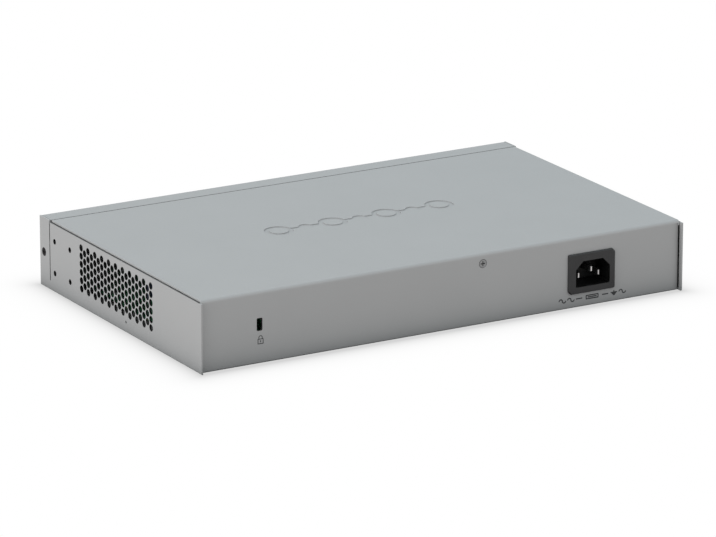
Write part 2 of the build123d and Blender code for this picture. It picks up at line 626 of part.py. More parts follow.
CHOKE_AT = (-122.5, 158.0)
CHOKE_SIZE = (17.0, 16.0, 18.0)
with BuildPart() as psu_choke:
    brick(CHOKE_AT, BOARD_TOP, (CHOKE_SIZE[0], CHOKE_SIZE[1], 2.0))
    ring_z = BOARD_TOP + 2.0 + 8.0
    ring_plane = Plane(origin=(CHOKE_AT[0], behind(CHOKE_AT[1]), ring_z), z_dir=(0, 1, 0))
    with Locations(ring_plane):
        Torus(5.4, 2.8)
        Box(2.0, 13.0, 5.0)
psu_choke.part.label = "psu_choke"
export_step(psu_choke.part, "parts/psu_choke.step")

FILM_CAPACITOR = (-80.0, 158.0)
with BuildPart() as psu_film_capacitor:
    brick(FILM_CAPACITOR, BOARD_TOP, (8.0, 18.0, 14.0))
    fillet(edges().filter_by(Axis.Z), 0.8)
psu_film_capacitor.part.label = "psu_film_capacitor"
export_step(psu_film_capacitor.part, "parts/psu_film_capacitor.step")


def can_capacitors(places, radius, height, bead):
    """Adds upright capacitor cans with a rolled bead near the foot and a scored crown."""
    for place in places:
        post(place, BOARD_TOP, radius, height)
        post(place, BOARD_TOP + height - 0.3, radius * 0.8, 0.3, mode=Mode.SUBTRACT)
        brick(place, BOARD_TOP + height - 0.6, (radius * 1.4, 0.4, 0.4), mode=Mode.SUBTRACT)
        brick(place, BOARD_TOP + height - 0.6, (0.4, radius * 1.4, 0.4), mode=Mode.SUBTRACT)
        with Locations((place[0], behind(place[1]), BOARD_TOP + 2.5)):
            Torus(radius + bead, 2 * bead, mode=Mode.SUBTRACT)


BULK_CAPACITORS = ((-123.0, 134.0), (-123.0, 116.0))
with BuildPart() as psu_bulk_capacitors:
    can_capacitors(BULK_CAPACITORS, 8.0, 27.0, 0.4)
psu_bulk_capacitors.part.label = "psu_bulk_capacitors"
export_step(psu_bulk_capacitors.part, "parts/psu_bulk_capacitors.step")

OUTPUT_CAPACITORS = ((-63.0, 122.0), (-63.0, 133.0), (-63.0, 144.0))
with BuildPart() as psu_output_capacitors:
    can_capacitors(OUTPUT_CAPACITORS, 4.0, 16.0, 0.25)
psu_output_capacitors.part.label = "psu_output_capacitors"
export_step(psu_output_capacitors.part, "parts/psu_output_capacitors.step")

PRIMARY_SINK = ((-109.0, -87.0), (146.6, 148.6))
SECONDARY_SINK = ((-71.6, -69.6), (113.0, 146.0))
SINK_TOP = BOARD_TOP + 26.0
with BuildPart() as psu_heatsinks:
    span(*PRIMARY_SINK, (BOARD_TOP, SINK_TOP))
    span(PRIMARY_SINK[0], (PRIMARY_SINK[1][0], PRIMARY_SINK[1][1] + 5.0), (SINK_TOP - 2.0, SINK_TOP))
    span(*SECONDARY_SINK, (BOARD_TOP, SINK_TOP))
    span((SECONDARY_SINK[0][0], SECONDARY_SINK[0][1] + 9.0), SECONDARY_SINK[1], (SINK_TOP - 2.0, SINK_TOP))
psu_heatsinks.part.label = "psu_heatsinks"
export_step(psu_heatsinks.part, "parts/psu_heatsinks.step")

TRANSISTOR_XS = (-103.5, -92.0)
with BuildPart() as psu_transistors:
    for x in TRANSISTOR_XS:
        span((x - 5.0, x + 5.0), (148.6, 149.8), (BOARD_TOP + 4.0, BOARD_TOP + 19.0))
        span((x - 5.0, x + 5.0), (149.8, 153.0), (BOARD_TOP + 4.0, BOARD_TOP + 13.0))
        for leg in (-2.54, 0.0, 2.54):
            span((x + leg - 0.4, x + leg + 0.4), (150.6, 151.2), (BOARD_TOP, BOARD_TOP + 4.0))
psu_transistors.part.label = "psu_transistors"
export_step(psu_transistors.part, "parts/psu_transistors.step")

TRANSFORMER_AT = (-92.0, 130.0)
CORE_SIZE = (32.0, 14.0, 26.0)
CORE_LEG = 8.0
CORE_YOKE = 4.0
CORE_BASE = BOARD_TOP + 1.5
COIL_SIZE = (27.0, 26.0)
with BuildPart() as psu_transformer_core:
    brick(TRANSFORMER_AT, CORE_BASE, CORE_SIZE)
    window = (CORE_SIZE[0] - CORE_LEG - 2 * CORE_YOKE) / 2
    for side in (-1, 1):
        place = (TRANSFORMER_AT[0] + side * (CORE_LEG + window) / 2, TRANSFORMER_AT[1])
        brick(place, CORE_BASE + CORE_YOKE, (window, CORE_SIZE[1], CORE_SIZE[2] - 2 * CORE_YOKE),
              mode=Mode.SUBTRACT)
psu_transformer_core.part.label = "psu_transformer_core"
export_step(psu_transformer_core.part, "parts/psu_transformer_core.step")

with BuildPart() as psu_transformer_coil:
    coil_height = CORE_SIZE[2] - 2 * CORE_YOKE - 0.2
    coil_width = CORE_LEG + 2 * window - 0.2
    brick(TRANSFORMER_AT, CORE_BASE + CORE_YOKE + 0.1, (coil_width, COIL_SIZE[1], coil_height))
    fillet(edges().filter_by(Axis.Z), 5.0)
    brick(TRANSFORMER_AT, CORE_BASE, (CORE_LEG + 0.2, CORE_SIZE[1] + 0.2, CORE_SIZE[2]), mode=Mode.SUBTRACT)
    for side in (-1, 1):
        place = (TRANSFORMER_AT[0], TRANSFORMER_AT[1] + side * 10.6)
        brick(place, BOARD_TOP, (coil_width - 2.0, 3.6, CORE_BASE + CORE_YOKE + 0.2 - BOARD_TOP))
psu_transformer_coil.part.label = "psu_transformer_coil"
export_step(psu_transformer_coil.part, "parts/psu_transformer_coil.step")

# ---------------------------------------------------------------- main board
with BuildPart() as main_board:
    span(MAIN_STRIP[:2], MAIN_STRIP[2:], (BOARD_BOTTOM, BOARD_TOP))
    span(MAIN_REAR[:2], MAIN_REAR[2:], (BOARD_BOTTOM, BOARD_TOP))
    for place in MAIN_SCREWS:
        post(place, BOARD_BOTTOM, M3_CLEAR, BOARD_THICK, mode=Mode.SUBTRACT)
main_board.part.label = "main_board"
export_step(main_board.part, "parts/main_board.step")


def packages(places, size, corner=0.2):
    """Adds flat chip packages on the board with broken top edges."""
    for place in places:
        brick(place, BOARD_TOP, size)
    chamfer(edges().group_by(Axis.Z)[-1], corner)


SWITCH_CHIP_AT = (60.0, 100.0)
SWITCH_CHIP_SIZE = (27.0, 27.0, 2.2)
with BuildPart() as switch_chip:
    packages([SWITCH_CHIP_AT], SWITCH_CHIP_SIZE)
switch_chip.part.label = "switch_chip"
export_step(switch_chip.part, "parts/switch_chip.step")

HEATSINK_SIZE = (60.0, 60.0, 3.0)
FIN_COUNT = 13
FIN_THICK = 1.2
FIN_HEIGHT = 14.0
with BuildPart() as chip_heatsink:
    sink_base = BOARD_TOP + SWITCH_CHIP_SIZE[2]
    brick(SWITCH_CHIP_AT, sink_base, HEATSINK_SIZE)
    fin_pitch = (HEATSINK_SIZE[1] - FIN_THICK) / (FIN_COUNT - 1)
    for fin in range(FIN_COUNT):
        offset_y = (fin - (FIN_COUNT - 1) / 2) * fin_pitch
        brick((SWITCH_CHIP_AT[0], SWITCH_CHIP_AT[1] + offset_y), sink_base + HEATSINK_SIZE[2],
              (HEATSINK_SIZE[0], FIN_THICK, FIN_HEIGHT))
chip_heatsink.part.label = "chip_heatsink"
export_step(chip_heatsink.part, "parts/chip_heatsink.step")

PHY_XS = [x + side * 14.0 for x in BLOCK_CENTRES.values() for side in (-1, 1)]
with BuildPart() as phy_chips:
    packages([(x, 53.0) for x in PHY_XS], (14.0, 14.0, 1.2))
phy_chips.part.label = "phy_chips"
export_step(phy_chips.part, "parts/phy_chips.step")

PORT_TRANSFORMER_XS = [x + column * 14.0 for x in BLOCK_CENTRES.values() for column in PORT_COLUMNS]
with BuildPart() as port_transformers:
    packages([(x, 35.5) for x in PORT_TRANSFORMER_XS], (11.5, 13.0, 5.0), 0.4)
port_transformers.part.label = "port_transformers"
export_step(port_transformers.part, "parts/port_transformers.step")

with BuildPart() as memory_chips:
    packages([(6.0, 92.0), (6.0, 106.0)], (13.0, 9.0, 1.1))
memory_chips.part.label = "memory_chips"
export_step(memory_chips.part, "parts/memory_chips.step")

REGULATOR_DEPTHS = (78.0, 94.0, 110.0, 126.0)
with BuildPart() as regulator_chips:
    packages([(104.0, y) for y in REGULATOR_DEPTHS], (6.0, 6.0, 1.0))
regulator_chips.part.label = "regulator_chips"
export_step(regulator_chips.part, "parts/regulator_chips.step")

with BuildPart() as board_inductors:
    packages([(116.0, y) for y in REGULATOR_DEPTHS], (10.0, 10.0, 5.0), 0.8)
board_inductors.part.label = "board_inductors"
export_step(board_inductors.part, "parts/board_inductors.step")

with BuildPart() as board_capacitors:
    can_capacitors([(130.0, y) for y in REGULATOR_DEPTHS] + [(-20.0, 104.0), (-20.0, 116.0)], 4.0, 11.0, 0.25)
board_capacitors.part.label = "board_capacitors"
export_step(board_capacitors.part, "parts/board_capacitors.step")

with BuildPart() as power_header:
    brick(POWER_HEADER, BOARD_TOP, DC_CONNECTOR_SIZE)
    chamfer(edges().group_by(Axis.Z)[-1], 0.6)
power_header.part.label = "power_header"
export_step(power_header.part, "parts/power_header.step")

FAN_HEADER = (-132.0, 52.0)
FAN_HEADER_SIZE = (8.0, 6.0, 7.0)
with BuildPart() as fan_header:
    brick(FAN_HEADER, BOARD_TOP, FAN_HEADER_SIZE)
    chamfer(edges().group_by(Axis.Z)[-1], 0.5)
fan_header.part.label = "fan_header"
export_step(fan_header.part, "parts/fan_header.step")

HARNESS_PITCH = 2.5
HARNESS_RISE = 9.0
with BuildPart() as dc_harness:
    harness_z = BOARD_TOP + DC_CONNECTOR_SIZE[2]
    for wire in range(4):
        y = behind(DC_CONNECTOR[1] + (wire - 1.5) * HARNESS_PITCH)
        with BuildLine() as route:
            FilletPolyline((DC_CONNECTOR[0], y, harness_z), (DC_CONNECTOR[0], y, harness_z + HARNESS_RISE),
                           (POWER_HEADER[0], y, harness_z + HARNESS_RISE), (POWER_HEADER[0], y, harness_z),
                           radius=6.0)
        with BuildSketch(Plane.XY.offset(harness_z)):
            with Locations((DC_CONNECTOR[0], y)):
                Circle(0.9)
        sweep(path=route.line)
dc_harness.part.label = "dc_harness"
export_step(dc_harness.part, "parts/dc_harness.step")

# ---------------------------------------------------------------- network ports
block_floor = BOARD_TOP
block_middle = BOARD_TOP + BLOCK_HEIGHT / 2
for side_name, block_x in BLOCK_CENTRES.items():
    shell_half = BLOCK_WIDTH / 2 - SHIELD_SHEET
    with BuildPart() as port_shield:
        span((block_x - BLOCK_WIDTH / 2, block_x + BLOCK_WIDTH / 2), (JACK_FRONT, JACK_FRONT + BLOCK_DEPTH),
             (block_floor, block_floor + BLOCK_HEIGHT))
        span((block_x - shell_half, block_x + shell_half), (0, JACK_FRONT + BLOCK_DEPTH - SHIELD_SHEET),
             (block_floor, block_floor + BLOCK_HEIGHT - SHIELD_SHEET), mode=Mode.SUBTRACT)
    port_shield.part.label = f"port_shield_{side_name}"
    export_step(port_shield.part, f"parts/port_shield_{side_name}.step")

    housing_half = shell_half - 0.1
    housing_back = JACK_FRONT + BLOCK_DEPTH - SHIELD_SHEET - 0.1
    jack_plane = Plane(origin=(0, behind(JACK_FRONT), 0), x_dir=(1, 0, 0), z_dir=(0, -1, 0))
    lamp_places = [
        (x + side * LAMP_OFFSET_X, block_middle + row * LAMP_OFFSET_Z)
        for x, row in port_places(block_x) for side in (-1, 1)
    ]
    with BuildPart() as port_housing:
        span((block_x - housing_half, block_x + housing_half), (JACK_FRONT, housing_back),
             (block_floor, block_floor + BLOCK_HEIGHT - SHIELD_SHEET - 0.1))
        with BuildSketch(jack_plane):
            for x, row in port_places(block_x):
                with Locations((x, block_middle + row * (PORT_INNER_EDGE + PORT_SIZE[1] / 2))):
                    Rectangle(*PORT_SIZE)
                with Locations((x, block_middle + row * (PORT_INNER_EDGE + PORT_SIZE[1] + LATCH_SIZE[1] / 2))):
                    Rectangle(*LATCH_SIZE)
        extrude(amount=-PORT_DEPTH, mode=Mode.SUBTRACT)
        with BuildSketch(jack_plane):
            with Locations(lamp_places):
                Rectangle(LAMP_SIZE[0] + 0.1, LAMP_SIZE[2] + 0.1)
        extrude(amount=-(LAMP_SIZE[1] + 0.1), mode=Mode.SUBTRACT)
    port_housing.part.label = f"port_housing_{side_name}"
    export_step(port_housing.part, f"parts/port_housing_{side_name}.step")

    with BuildPart() as port_lamps:
        with BuildSketch(jack_plane):
            with Locations(lamp_places):
                Rectangle(LAMP_SIZE[0], LAMP_SIZE[2])
        extrude(amount=-LAMP_SIZE[1])
    port_lamps.part.label = f"port_lamps_{side_name}"
    export_step(port_lamps.part, f"parts/port_lamps_{side_name}.step")

    with BuildPart() as port_contacts:
        for x, row in port_places(block_x):
            contact_z = block_middle + row * (PORT_INNER_EDGE + CONTACT_CENTRE[1])
            places = [
                (x + (wire - (CONTACT_COUNT - 1) / 2) * CONTACT_PITCH, behind(CONTACT_CENTRE[0]), contact_z)
                for wire in range(CONTACT_COUNT)
            ]
            with Locations(*places):
                Box(*CONTACT_SIZE, rotation=(row * CONTACT_TILT, 0, 0))
    port_contacts.part.label = f"port_contacts_{side_name}"
    export_step(port_contacts.part, f"parts/port_contacts_{side_name}.step")

with BuildPart() as uplink_cages:
    for x in CAGE_XS:
        place = (x, JACK_FRONT + CAGE_SIZE[1] / 2)
        inner = (CAGE_SIZE[0] - 2 * CAGE_SHEET, CAGE_SIZE[1], CAGE_SIZE[2] - 2 * CAGE_SHEET)
        brick(place, BOARD_TOP, CAGE_SIZE)
        brick((x, place[1] - CAGE_SHEET), BOARD_TOP + CAGE_SHEET, inner, mode=Mode.SUBTRACT)
        brick((x, CAGE_CONNECTOR_CENTRE), BOARD_TOP, (*CAGE_WINDOW, CAGE_SHEET), mode=Mode.SUBTRACT)
uplink_cages.part.label = "uplink_cages"
export_step(uplink_cages.part, "parts/uplink_cages.step")

with BuildPart() as uplink_connectors:
    for x in CAGE_XS:
        brick((x, CAGE_CONNECTOR_CENTRE), BOARD_TOP, CAGE_CONNECTOR)
        slot_depth = CAGE_CONNECTOR_CENTRE - CAGE_CONNECTOR[1] / 2 + CAGE_SLOT[1] / 2
        brick((x, slot_depth), BOARD_TOP + 4.2, CAGE_SLOT, mode=Mode.SUBTRACT)
uplink_connectors.part.label = "uplink_connectors"
export_step(uplink_connectors.part, "parts/uplink_connectors.step")

# ---------------------------------------------------------------- status lights and buttons
with BuildPart() as status_leds:
    packages([(x, LIGHT_RUN) for x in LIGHT_XS], LED_SIZE)
status_leds.part.label = "status_leds"
export_step(status_leds.part, "parts/status_leds.step")

with BuildPart() as status_light_pipes:
    for x in LIGHT_XS:
        with BuildLine() as route:
            FilletPolyline((x, FRONT + 0.1, LIGHT_Z), (x, behind(LIGHT_RUN), LIGHT_Z),
                           (x, behind(LIGHT_RUN), BOARD_TOP + LED_SIZE[2] + 0.3), radius=LIGHT_BEND)
        with BuildSketch(Plane(origin=(x, FRONT + 0.1, LIGHT_Z), z_dir=(0, 1, 0))):
            Circle(LIGHT_RADIUS)
        sweep(path=route.line)
status_light_pipes.part.label = "status_light_pipes"
export_step(status_light_pipes.part, "parts/status_light_pipes.step")

with BuildPart() as light_pipe_bar:
    bar_x = (LIGHT_XS[0] + LIGHT_XS[-1]) / 2
    brick((bar_x, SHEET + LIGHT_BAR[1] / 2), LIGHT_Z - LIGHT_BAR[2] / 2, LIGHT_BAR)
    with Locations([Plane(origin=(x, FRONT, LIGHT_Z), z_dir=(0, 1, 0)) for x in LIGHT_XS]):
        Cylinder(LIGHT_RADIUS + 0.02, 4 * LIGHT_BAR[1], mode=Mode.SUBTRACT)
light_pipe_bar.part.label = "light_pipe_bar"
export_step(light_pipe_bar.part, "parts/light_pipe_bar.step")

for button_name, (button_x, button_radius) in BUTTONS.items():
    axis_plane = Plane(origin=(button_x, FRONT, BUTTON_Z), z_dir=(0, 1, 0))
    with BuildPart(axis_plane) as push_button:
        Cylinder(button_radius, BUTTON_COLLAR[0] + 0.1, align=CENTRED_BASE)
        fillet(edges().sort_by(Axis.Y)[0], 0.3)
        with Locations((0, 0, BUTTON_COLLAR[0])):
            Cylinder(button_radius + BUTTON_COLLAR_EXTRA, BUTTON_COLLAR[1], align=CENTRED_BASE)
            Cylinder(BUTTON_STEM_RADIUS, BUTTON_STEM_END - BUTTON_COLLAR[0], align=CENTRED_BASE)
    push_button.part.label = f"{button_name}_button"
    export_step(push_button.part, f"parts/{button_name}_button.step")

    with BuildPart() as push_switch:
        brick((button_x, SWITCH_FRONT + SWITCH_SIZE[1] / 2), BOARD_TOP, SWITCH_SIZE)
        with Locations(axis_plane.offset(SWITCH_FRONT - 1.0)):
            Cylinder(BUTTON_STEM_RADIUS + BUTTON_HOLE_CLEAR, SWITCH_BORE_DEPTH + 1.0, align=CENTRED_BASE,
                     mode=Mode.SUBTRACT)
    push_switch.part.label = f"{button_name}_switch"
    export_step(push_switch.part, f"parts/{button_name}_switch.step")

# ---------------------------------------------------------------- fan
fan_outer_x = -INNER_WALL + FAN_WALL_GAP
fan_plane = Plane(origin=(fan_outer_x, behind(FAN_CENTRE[0]), FAN_CENTRE[1]), x_dir=(0, 1, 0), z_dir=(1, 0, 0))
with BuildPart(fan_plane) as fan_frame:
    Box(FAN_SIZE, FAN_SIZE, FAN_THICK, align=CENTRED_BASE)
    fillet(edges().filter_by(Axis.X), 3.0)
    Cylinder(FAN_BORE_RADIUS, FAN_THICK, align=CENTRED_BASE, mode=Mode.SUBTRACT)
    with GridLocations(FAN_HOLE_SPACING, FAN_HOLE_SPACING, 2, 2):
        Cylinder(M3_CLEAR, FAN_THICK, align=CENTRED_BASE, mode=Mode.SUBTRACT)
    with Locations((0, 0, FAN_THICK - FAN_MOUNT_THICK)):
        Cylinder(FAN_MOUNT_RADIUS, FAN_MOUNT_THICK, align=CENTRED_BASE)
        with PolarLocations((FAN_MOUNT_RADIUS + FAN_BORE_RADIUS) / 2, 4, start_angle=45):
            Box(FAN_BORE_RADIUS - FAN_MOUNT_RADIUS + 2.0, FAN_STRUT_WIDTH, FAN_MOUNT_THICK, align=CENTRED_BASE)
    with Locations((0, 0, FAN_THICK - FAN_MOUNT_THICK - FAN_BEARING[1])):
        Cylinder(FAN_BEARING[0], FAN_BEARING[1], align=CENTRED_BASE)
        Cylinder(FAN_SHAFT_RADIUS + FAN_SHAFT_CLEAR, FAN_BEARING[1], align=CENTRED_BASE, mode=Mode.SUBTRACT)
fan_frame.part.label = "fan_frame"
export_step(fan_frame.part, "parts/fan_frame.step")

rotor_base = FAN_THICK - FAN_MOUNT_THICK - 0.6 - ROTOR_LENGTH
with BuildPart(fan_plane.offset(rotor_base)) as fan_rotor:
    Cylinder(ROTOR_RADIUS, ROTOR_LENGTH, align=CENTRED_BASE)
    with Locations((0, 0, ROTOR_WALL)):
        Cylinder(ROTOR_RADIUS - ROTOR_WALL, ROTOR_LENGTH, align=CENTRED_BASE, mode=Mode.SUBTRACT)
        Cylinder(FAN_SHAFT_RADIUS, ROTOR_LENGTH - ROTOR_WALL, align=CENTRED_BASE)
    blade_span = BLADE_TIP - ROTOR_RADIUS
    with Locations((0, 0, ROTOR_LENGTH / 2)):
        with PolarLocations(ROTOR_RADIUS + blade_span / 2 - 0.3, BLADE_COUNT):
            Box(blade_span + 0.6, BLADE_THICK, BLADE_CHORD, rotation=(BLADE_PITCH, 0, 0))
fan_rotor.part.label = "fan_rotor"
export_step(fan_rotor.part, "parts/fan_rotor.step")

FAN_SCREW_LENGTH = FAN_THICK + FAN_WALL_GAP + SHEET
with BuildPart(fan_plane.offset(FAN_THICK)) as fan_screws:
    with GridLocations(FAN_HOLE_SPACING, FAN_HOLE_SPACING, 2, 2):
        Cylinder(SCREW_HEAD_RADIUS, SCREW_HEAD_HEIGHT, align=CENTRED_BASE)
        Box(3.0, RECESS_WIDTH, SCREW_HEAD_HEIGHT * 3, mode=Mode.SUBTRACT)
        Box(RECESS_WIDTH, 3.0, SCREW_HEAD_HEIGHT * 3, mode=Mode.SUBTRACT)
    with Locations((0, 0, -FAN_SCREW_LENGTH)):
        with GridLocations(FAN_HOLE_SPACING, FAN_HOLE_SPACING, 2, 2):
            Cylinder(M3_RADIUS, FAN_SCREW_LENGTH + SCREW_HEAD_HEIGHT / 2, align=CENTRED_BASE)
fan_screws.part.label = "fan_screws"
export_step(fan_screws.part, "parts/fan_screws.step")

FAN_CABLE_RADIUS = 1.1
with BuildPart() as fan_cable:
    cable_start = (fan_outer_x + FAN_THICK, behind(FAN_CENTRE[0] - 14.5), 30.0)
    header_top = BOARD_TOP + FAN_HEADER_SIZE[2]
    with BuildLine() as route:
        FilletPolyline(cable_start, (FAN_HEADER[0], cable_start[1], cable_start[2]),
                       (FAN_HEADER[0], behind(FAN_HEADER[1]), 22.0),
                       (FAN_HEADER[0], behind(FAN_HEADER[1]), header_top), radius=4.5)
    with BuildSketch(Plane(origin=cable_start, z_dir=(1, 0, 0))):
        Circle(FAN_CABLE_RADIUS)
    sweep(path=route.line)
fan_cable.part.label = "fan_cable"
export_step(fan_cable.part, "parts/fan_cable.step")
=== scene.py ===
"""Finishes, printed marks, fine pieces and studio for the desktop network switch."""

from __future__ import annotations

import json
import logging
import math
from collections.abc import Sequence
from dataclasses import dataclass, field
from enum import Enum
from functools import cache

import bmesh
import bpy
from mathutils import Matrix, Vector

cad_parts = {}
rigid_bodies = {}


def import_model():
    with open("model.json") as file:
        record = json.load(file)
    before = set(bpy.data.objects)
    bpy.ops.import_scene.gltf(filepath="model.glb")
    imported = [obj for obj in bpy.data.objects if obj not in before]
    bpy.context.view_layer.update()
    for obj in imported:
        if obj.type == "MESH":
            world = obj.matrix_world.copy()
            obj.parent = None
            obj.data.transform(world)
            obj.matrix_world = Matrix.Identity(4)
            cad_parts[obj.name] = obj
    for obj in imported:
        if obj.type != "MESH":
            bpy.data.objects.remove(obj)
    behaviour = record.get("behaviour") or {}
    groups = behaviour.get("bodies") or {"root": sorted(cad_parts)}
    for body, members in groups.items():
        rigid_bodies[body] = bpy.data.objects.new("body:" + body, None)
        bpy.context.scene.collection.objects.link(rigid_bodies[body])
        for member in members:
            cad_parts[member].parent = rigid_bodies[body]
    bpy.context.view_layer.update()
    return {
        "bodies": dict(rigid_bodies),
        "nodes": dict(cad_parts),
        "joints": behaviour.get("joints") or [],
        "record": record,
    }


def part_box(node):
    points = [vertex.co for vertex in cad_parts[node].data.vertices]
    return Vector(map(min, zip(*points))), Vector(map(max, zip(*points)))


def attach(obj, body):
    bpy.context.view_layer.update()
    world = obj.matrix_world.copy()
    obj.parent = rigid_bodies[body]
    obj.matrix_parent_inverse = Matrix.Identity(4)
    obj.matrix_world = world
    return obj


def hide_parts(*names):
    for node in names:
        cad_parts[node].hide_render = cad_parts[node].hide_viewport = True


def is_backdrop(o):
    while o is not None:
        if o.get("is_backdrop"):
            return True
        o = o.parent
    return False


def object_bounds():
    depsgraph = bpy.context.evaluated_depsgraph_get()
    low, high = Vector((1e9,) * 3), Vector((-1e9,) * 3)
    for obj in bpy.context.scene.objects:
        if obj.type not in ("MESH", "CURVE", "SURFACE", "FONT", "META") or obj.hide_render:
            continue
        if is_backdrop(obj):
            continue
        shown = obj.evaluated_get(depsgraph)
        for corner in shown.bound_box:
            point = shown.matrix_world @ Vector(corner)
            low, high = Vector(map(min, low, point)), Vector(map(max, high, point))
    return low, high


LOG = logging.getLogger("switch")
MM = 0.001
Colour = tuple[float, float, float]
Box = tuple[Colour, Colour]


class Axis(Enum):
    """A coordinate axis, by its place in a vector."""

    X = 0
    Y = 1
    Z = 2


class NodeBench:
    """Builds one material around a Principled shader, node by node."""

    def __init__(self, name: str) -> None:
        """Starts an empty material with a shader wired to its output.

        Args:
            name: the material's name.
        """
        self.material = bpy.data.materials.new(name)
        self.material.use_nodes = True
        self.tree = self.material.node_tree
        self.tree.nodes.clear()
        self.output = self.tree.nodes.new("ShaderNodeOutputMaterial")
        self.shader = self.tree.nodes.new("ShaderNodeBsdfPrincipled")
        self.tree.links.new(self.shader.outputs[0], self.output.inputs["Surface"])
        self.place = self.tree.nodes.new("ShaderNodeTexCoord").outputs["Object"]

    def add(self, kind: str, values: dict | None = None, **settings: object) -> bpy.types.Node:
        """Adds a node.

        Args:
            kind: the node's type name after "ShaderNode".
            values: what each input socket takes, a constant or another socket.
            settings: the node's own properties.

        Returns:
            The new node.
        """
        node = self.tree.nodes.new("ShaderNode" + kind)
        for key, value in settings.items():
            setattr(node, key, value)
        for socket, value in (values or {}).items():
            self.feed(node.inputs[socket], value)
        return node

    def feed(self, socket: bpy.types.NodeSocket, value: object) -> None:
        """Sets a socket from a constant or links another socket to it."""
        if isinstance(value, bpy.types.NodeSocket):
            self.tree.links.new(value, socket)
        else:
            socket.default_value = value

    def dress(self, **values: object) -> None:
        """Feeds the shader's sockets, named with underscores for spaces."""
        for name, value in values.items():
            self.feed(self.shader.inputs[name.replace("_", " ")], value)

    def noise(self, grain_mm: float, detail: float = 2.0,
              stretch: Colour = (1, 1, 1)) -> bpy.types.NodeSocket:
        """Adds a noise pattern on the object's own coordinates.

        Args:
            grain_mm: the size of one blotch.
            detail: the number of finer octaves.
            stretch: how much finer than the grain it is along X, Y and Z.

        Returns:
            The pattern's factor socket.
        """
        at = self.add("Mapping", {"Vector": self.place, "Scale": stretch}).outputs[0]
        values = {"Vector": at, "Scale": 1 / (grain_mm * MM), "Detail": detail}
        return self.add("TexNoise", values).outputs["Fac"]

    def remap(self, socket: bpy.types.NodeSocket, low: float, high: float,
              start: float = 0.3, end: float = 0.7) -> bpy.types.NodeSocket:
        """Maps a factor from start..end to low..high."""
        values = {"Value": socket, "From Min": start, "From Max": end, "To Min": low, "To Max": high}
        return self.add("MapRange", values).outputs[0]

    def mix(self, factor: object, first: object, second: object) -> bpy.types.NodeSocket:
        """Mixes two colours."""
        node = self.add("Mix", data_type="RGBA")
        self.feed(node.inputs[0], factor)
        for index, colour in ((6, first), (7, second)):
            self.feed(node.inputs[index], opaque(colour) if isinstance(colour, tuple) else colour)
        return node.outputs[2]

    def math(self, operation: str, first: object, second: object = 0.0) -> bpy.types.NodeSocket:
        """Applies one arithmetic operation to two values."""
        return self.add("Math", {0: first, 1: second}, operation=operation).outputs[0]

    def coordinate(self, axis: Axis) -> bpy.types.NodeSocket:
        """Gives one object coordinate in metres."""
        return self.add("SeparateXYZ", {0: self.place}).outputs[axis.value]

    def within(self, box: Box) -> bpy.types.NodeSocket:
        """Gives one inside a box of object coordinates and nothing outside it."""
        lowest, highest = (Vector(corner) for corner in box)
        centre = (lowest + highest) / 2
        past = self.add("VectorMath", {0: self.place, 1: centre}, operation="SUBTRACT").outputs[0]
        folded = self.add("VectorMath", {0: past}, operation="ABSOLUTE").outputs[0]
        split = self.add("SeparateXYZ", {0: folded}).outputs
        inside: object = 1.0
        for axis, reach in zip(Axis, (highest - lowest) / 2):
            inside = self.math("MULTIPLY", inside, self.math("LESS_THAN", split[axis.value], reach))
        return inside

    def bands(self, factor: object, stops: Sequence[tuple[float, Colour]],
              sharp: bool = True) -> bpy.types.NodeSocket:
        """Adds a colour ramp.

        Args:
            factor: where on the ramp, 0 to 1.
            stops: each stop's place and colour.
            sharp: whether colours change in steps.

        Returns:
            The ramp's colour socket.
        """
        node = self.add("ValToRGB", {0: factor})
        ramp = node.color_ramp
        ramp.interpolation = "CONSTANT" if sharp else "LINEAR"
        while len(ramp.elements) < len(stops):
            ramp.elements.new(1.0)
        for element, (position, colour) in zip(ramp.elements, stops):
            element.position = position
            element.color = opaque(colour)
        return node.outputs[0]

    def relief(self, height: bpy.types.NodeSocket, depth_mm: float, strength: float = 1.0) -> None:
        """Turns a height pattern into bump on the shader."""
        values = {"Height": height, "Distance": depth_mm * MM, "Strength": strength}
        self.dress(Normal=self.add("Bump", values).outputs[0])


def opaque(colour: Colour) -> tuple[float, float, float, float]:
    """Adds full alpha to a colour."""
    return (*colour, 1.0)


def shade(colour: Colour, factor: float) -> Colour:
    """Brightens or darkens a colour by a factor."""
    return tuple(min(1.0, channel * factor) for channel in colour)


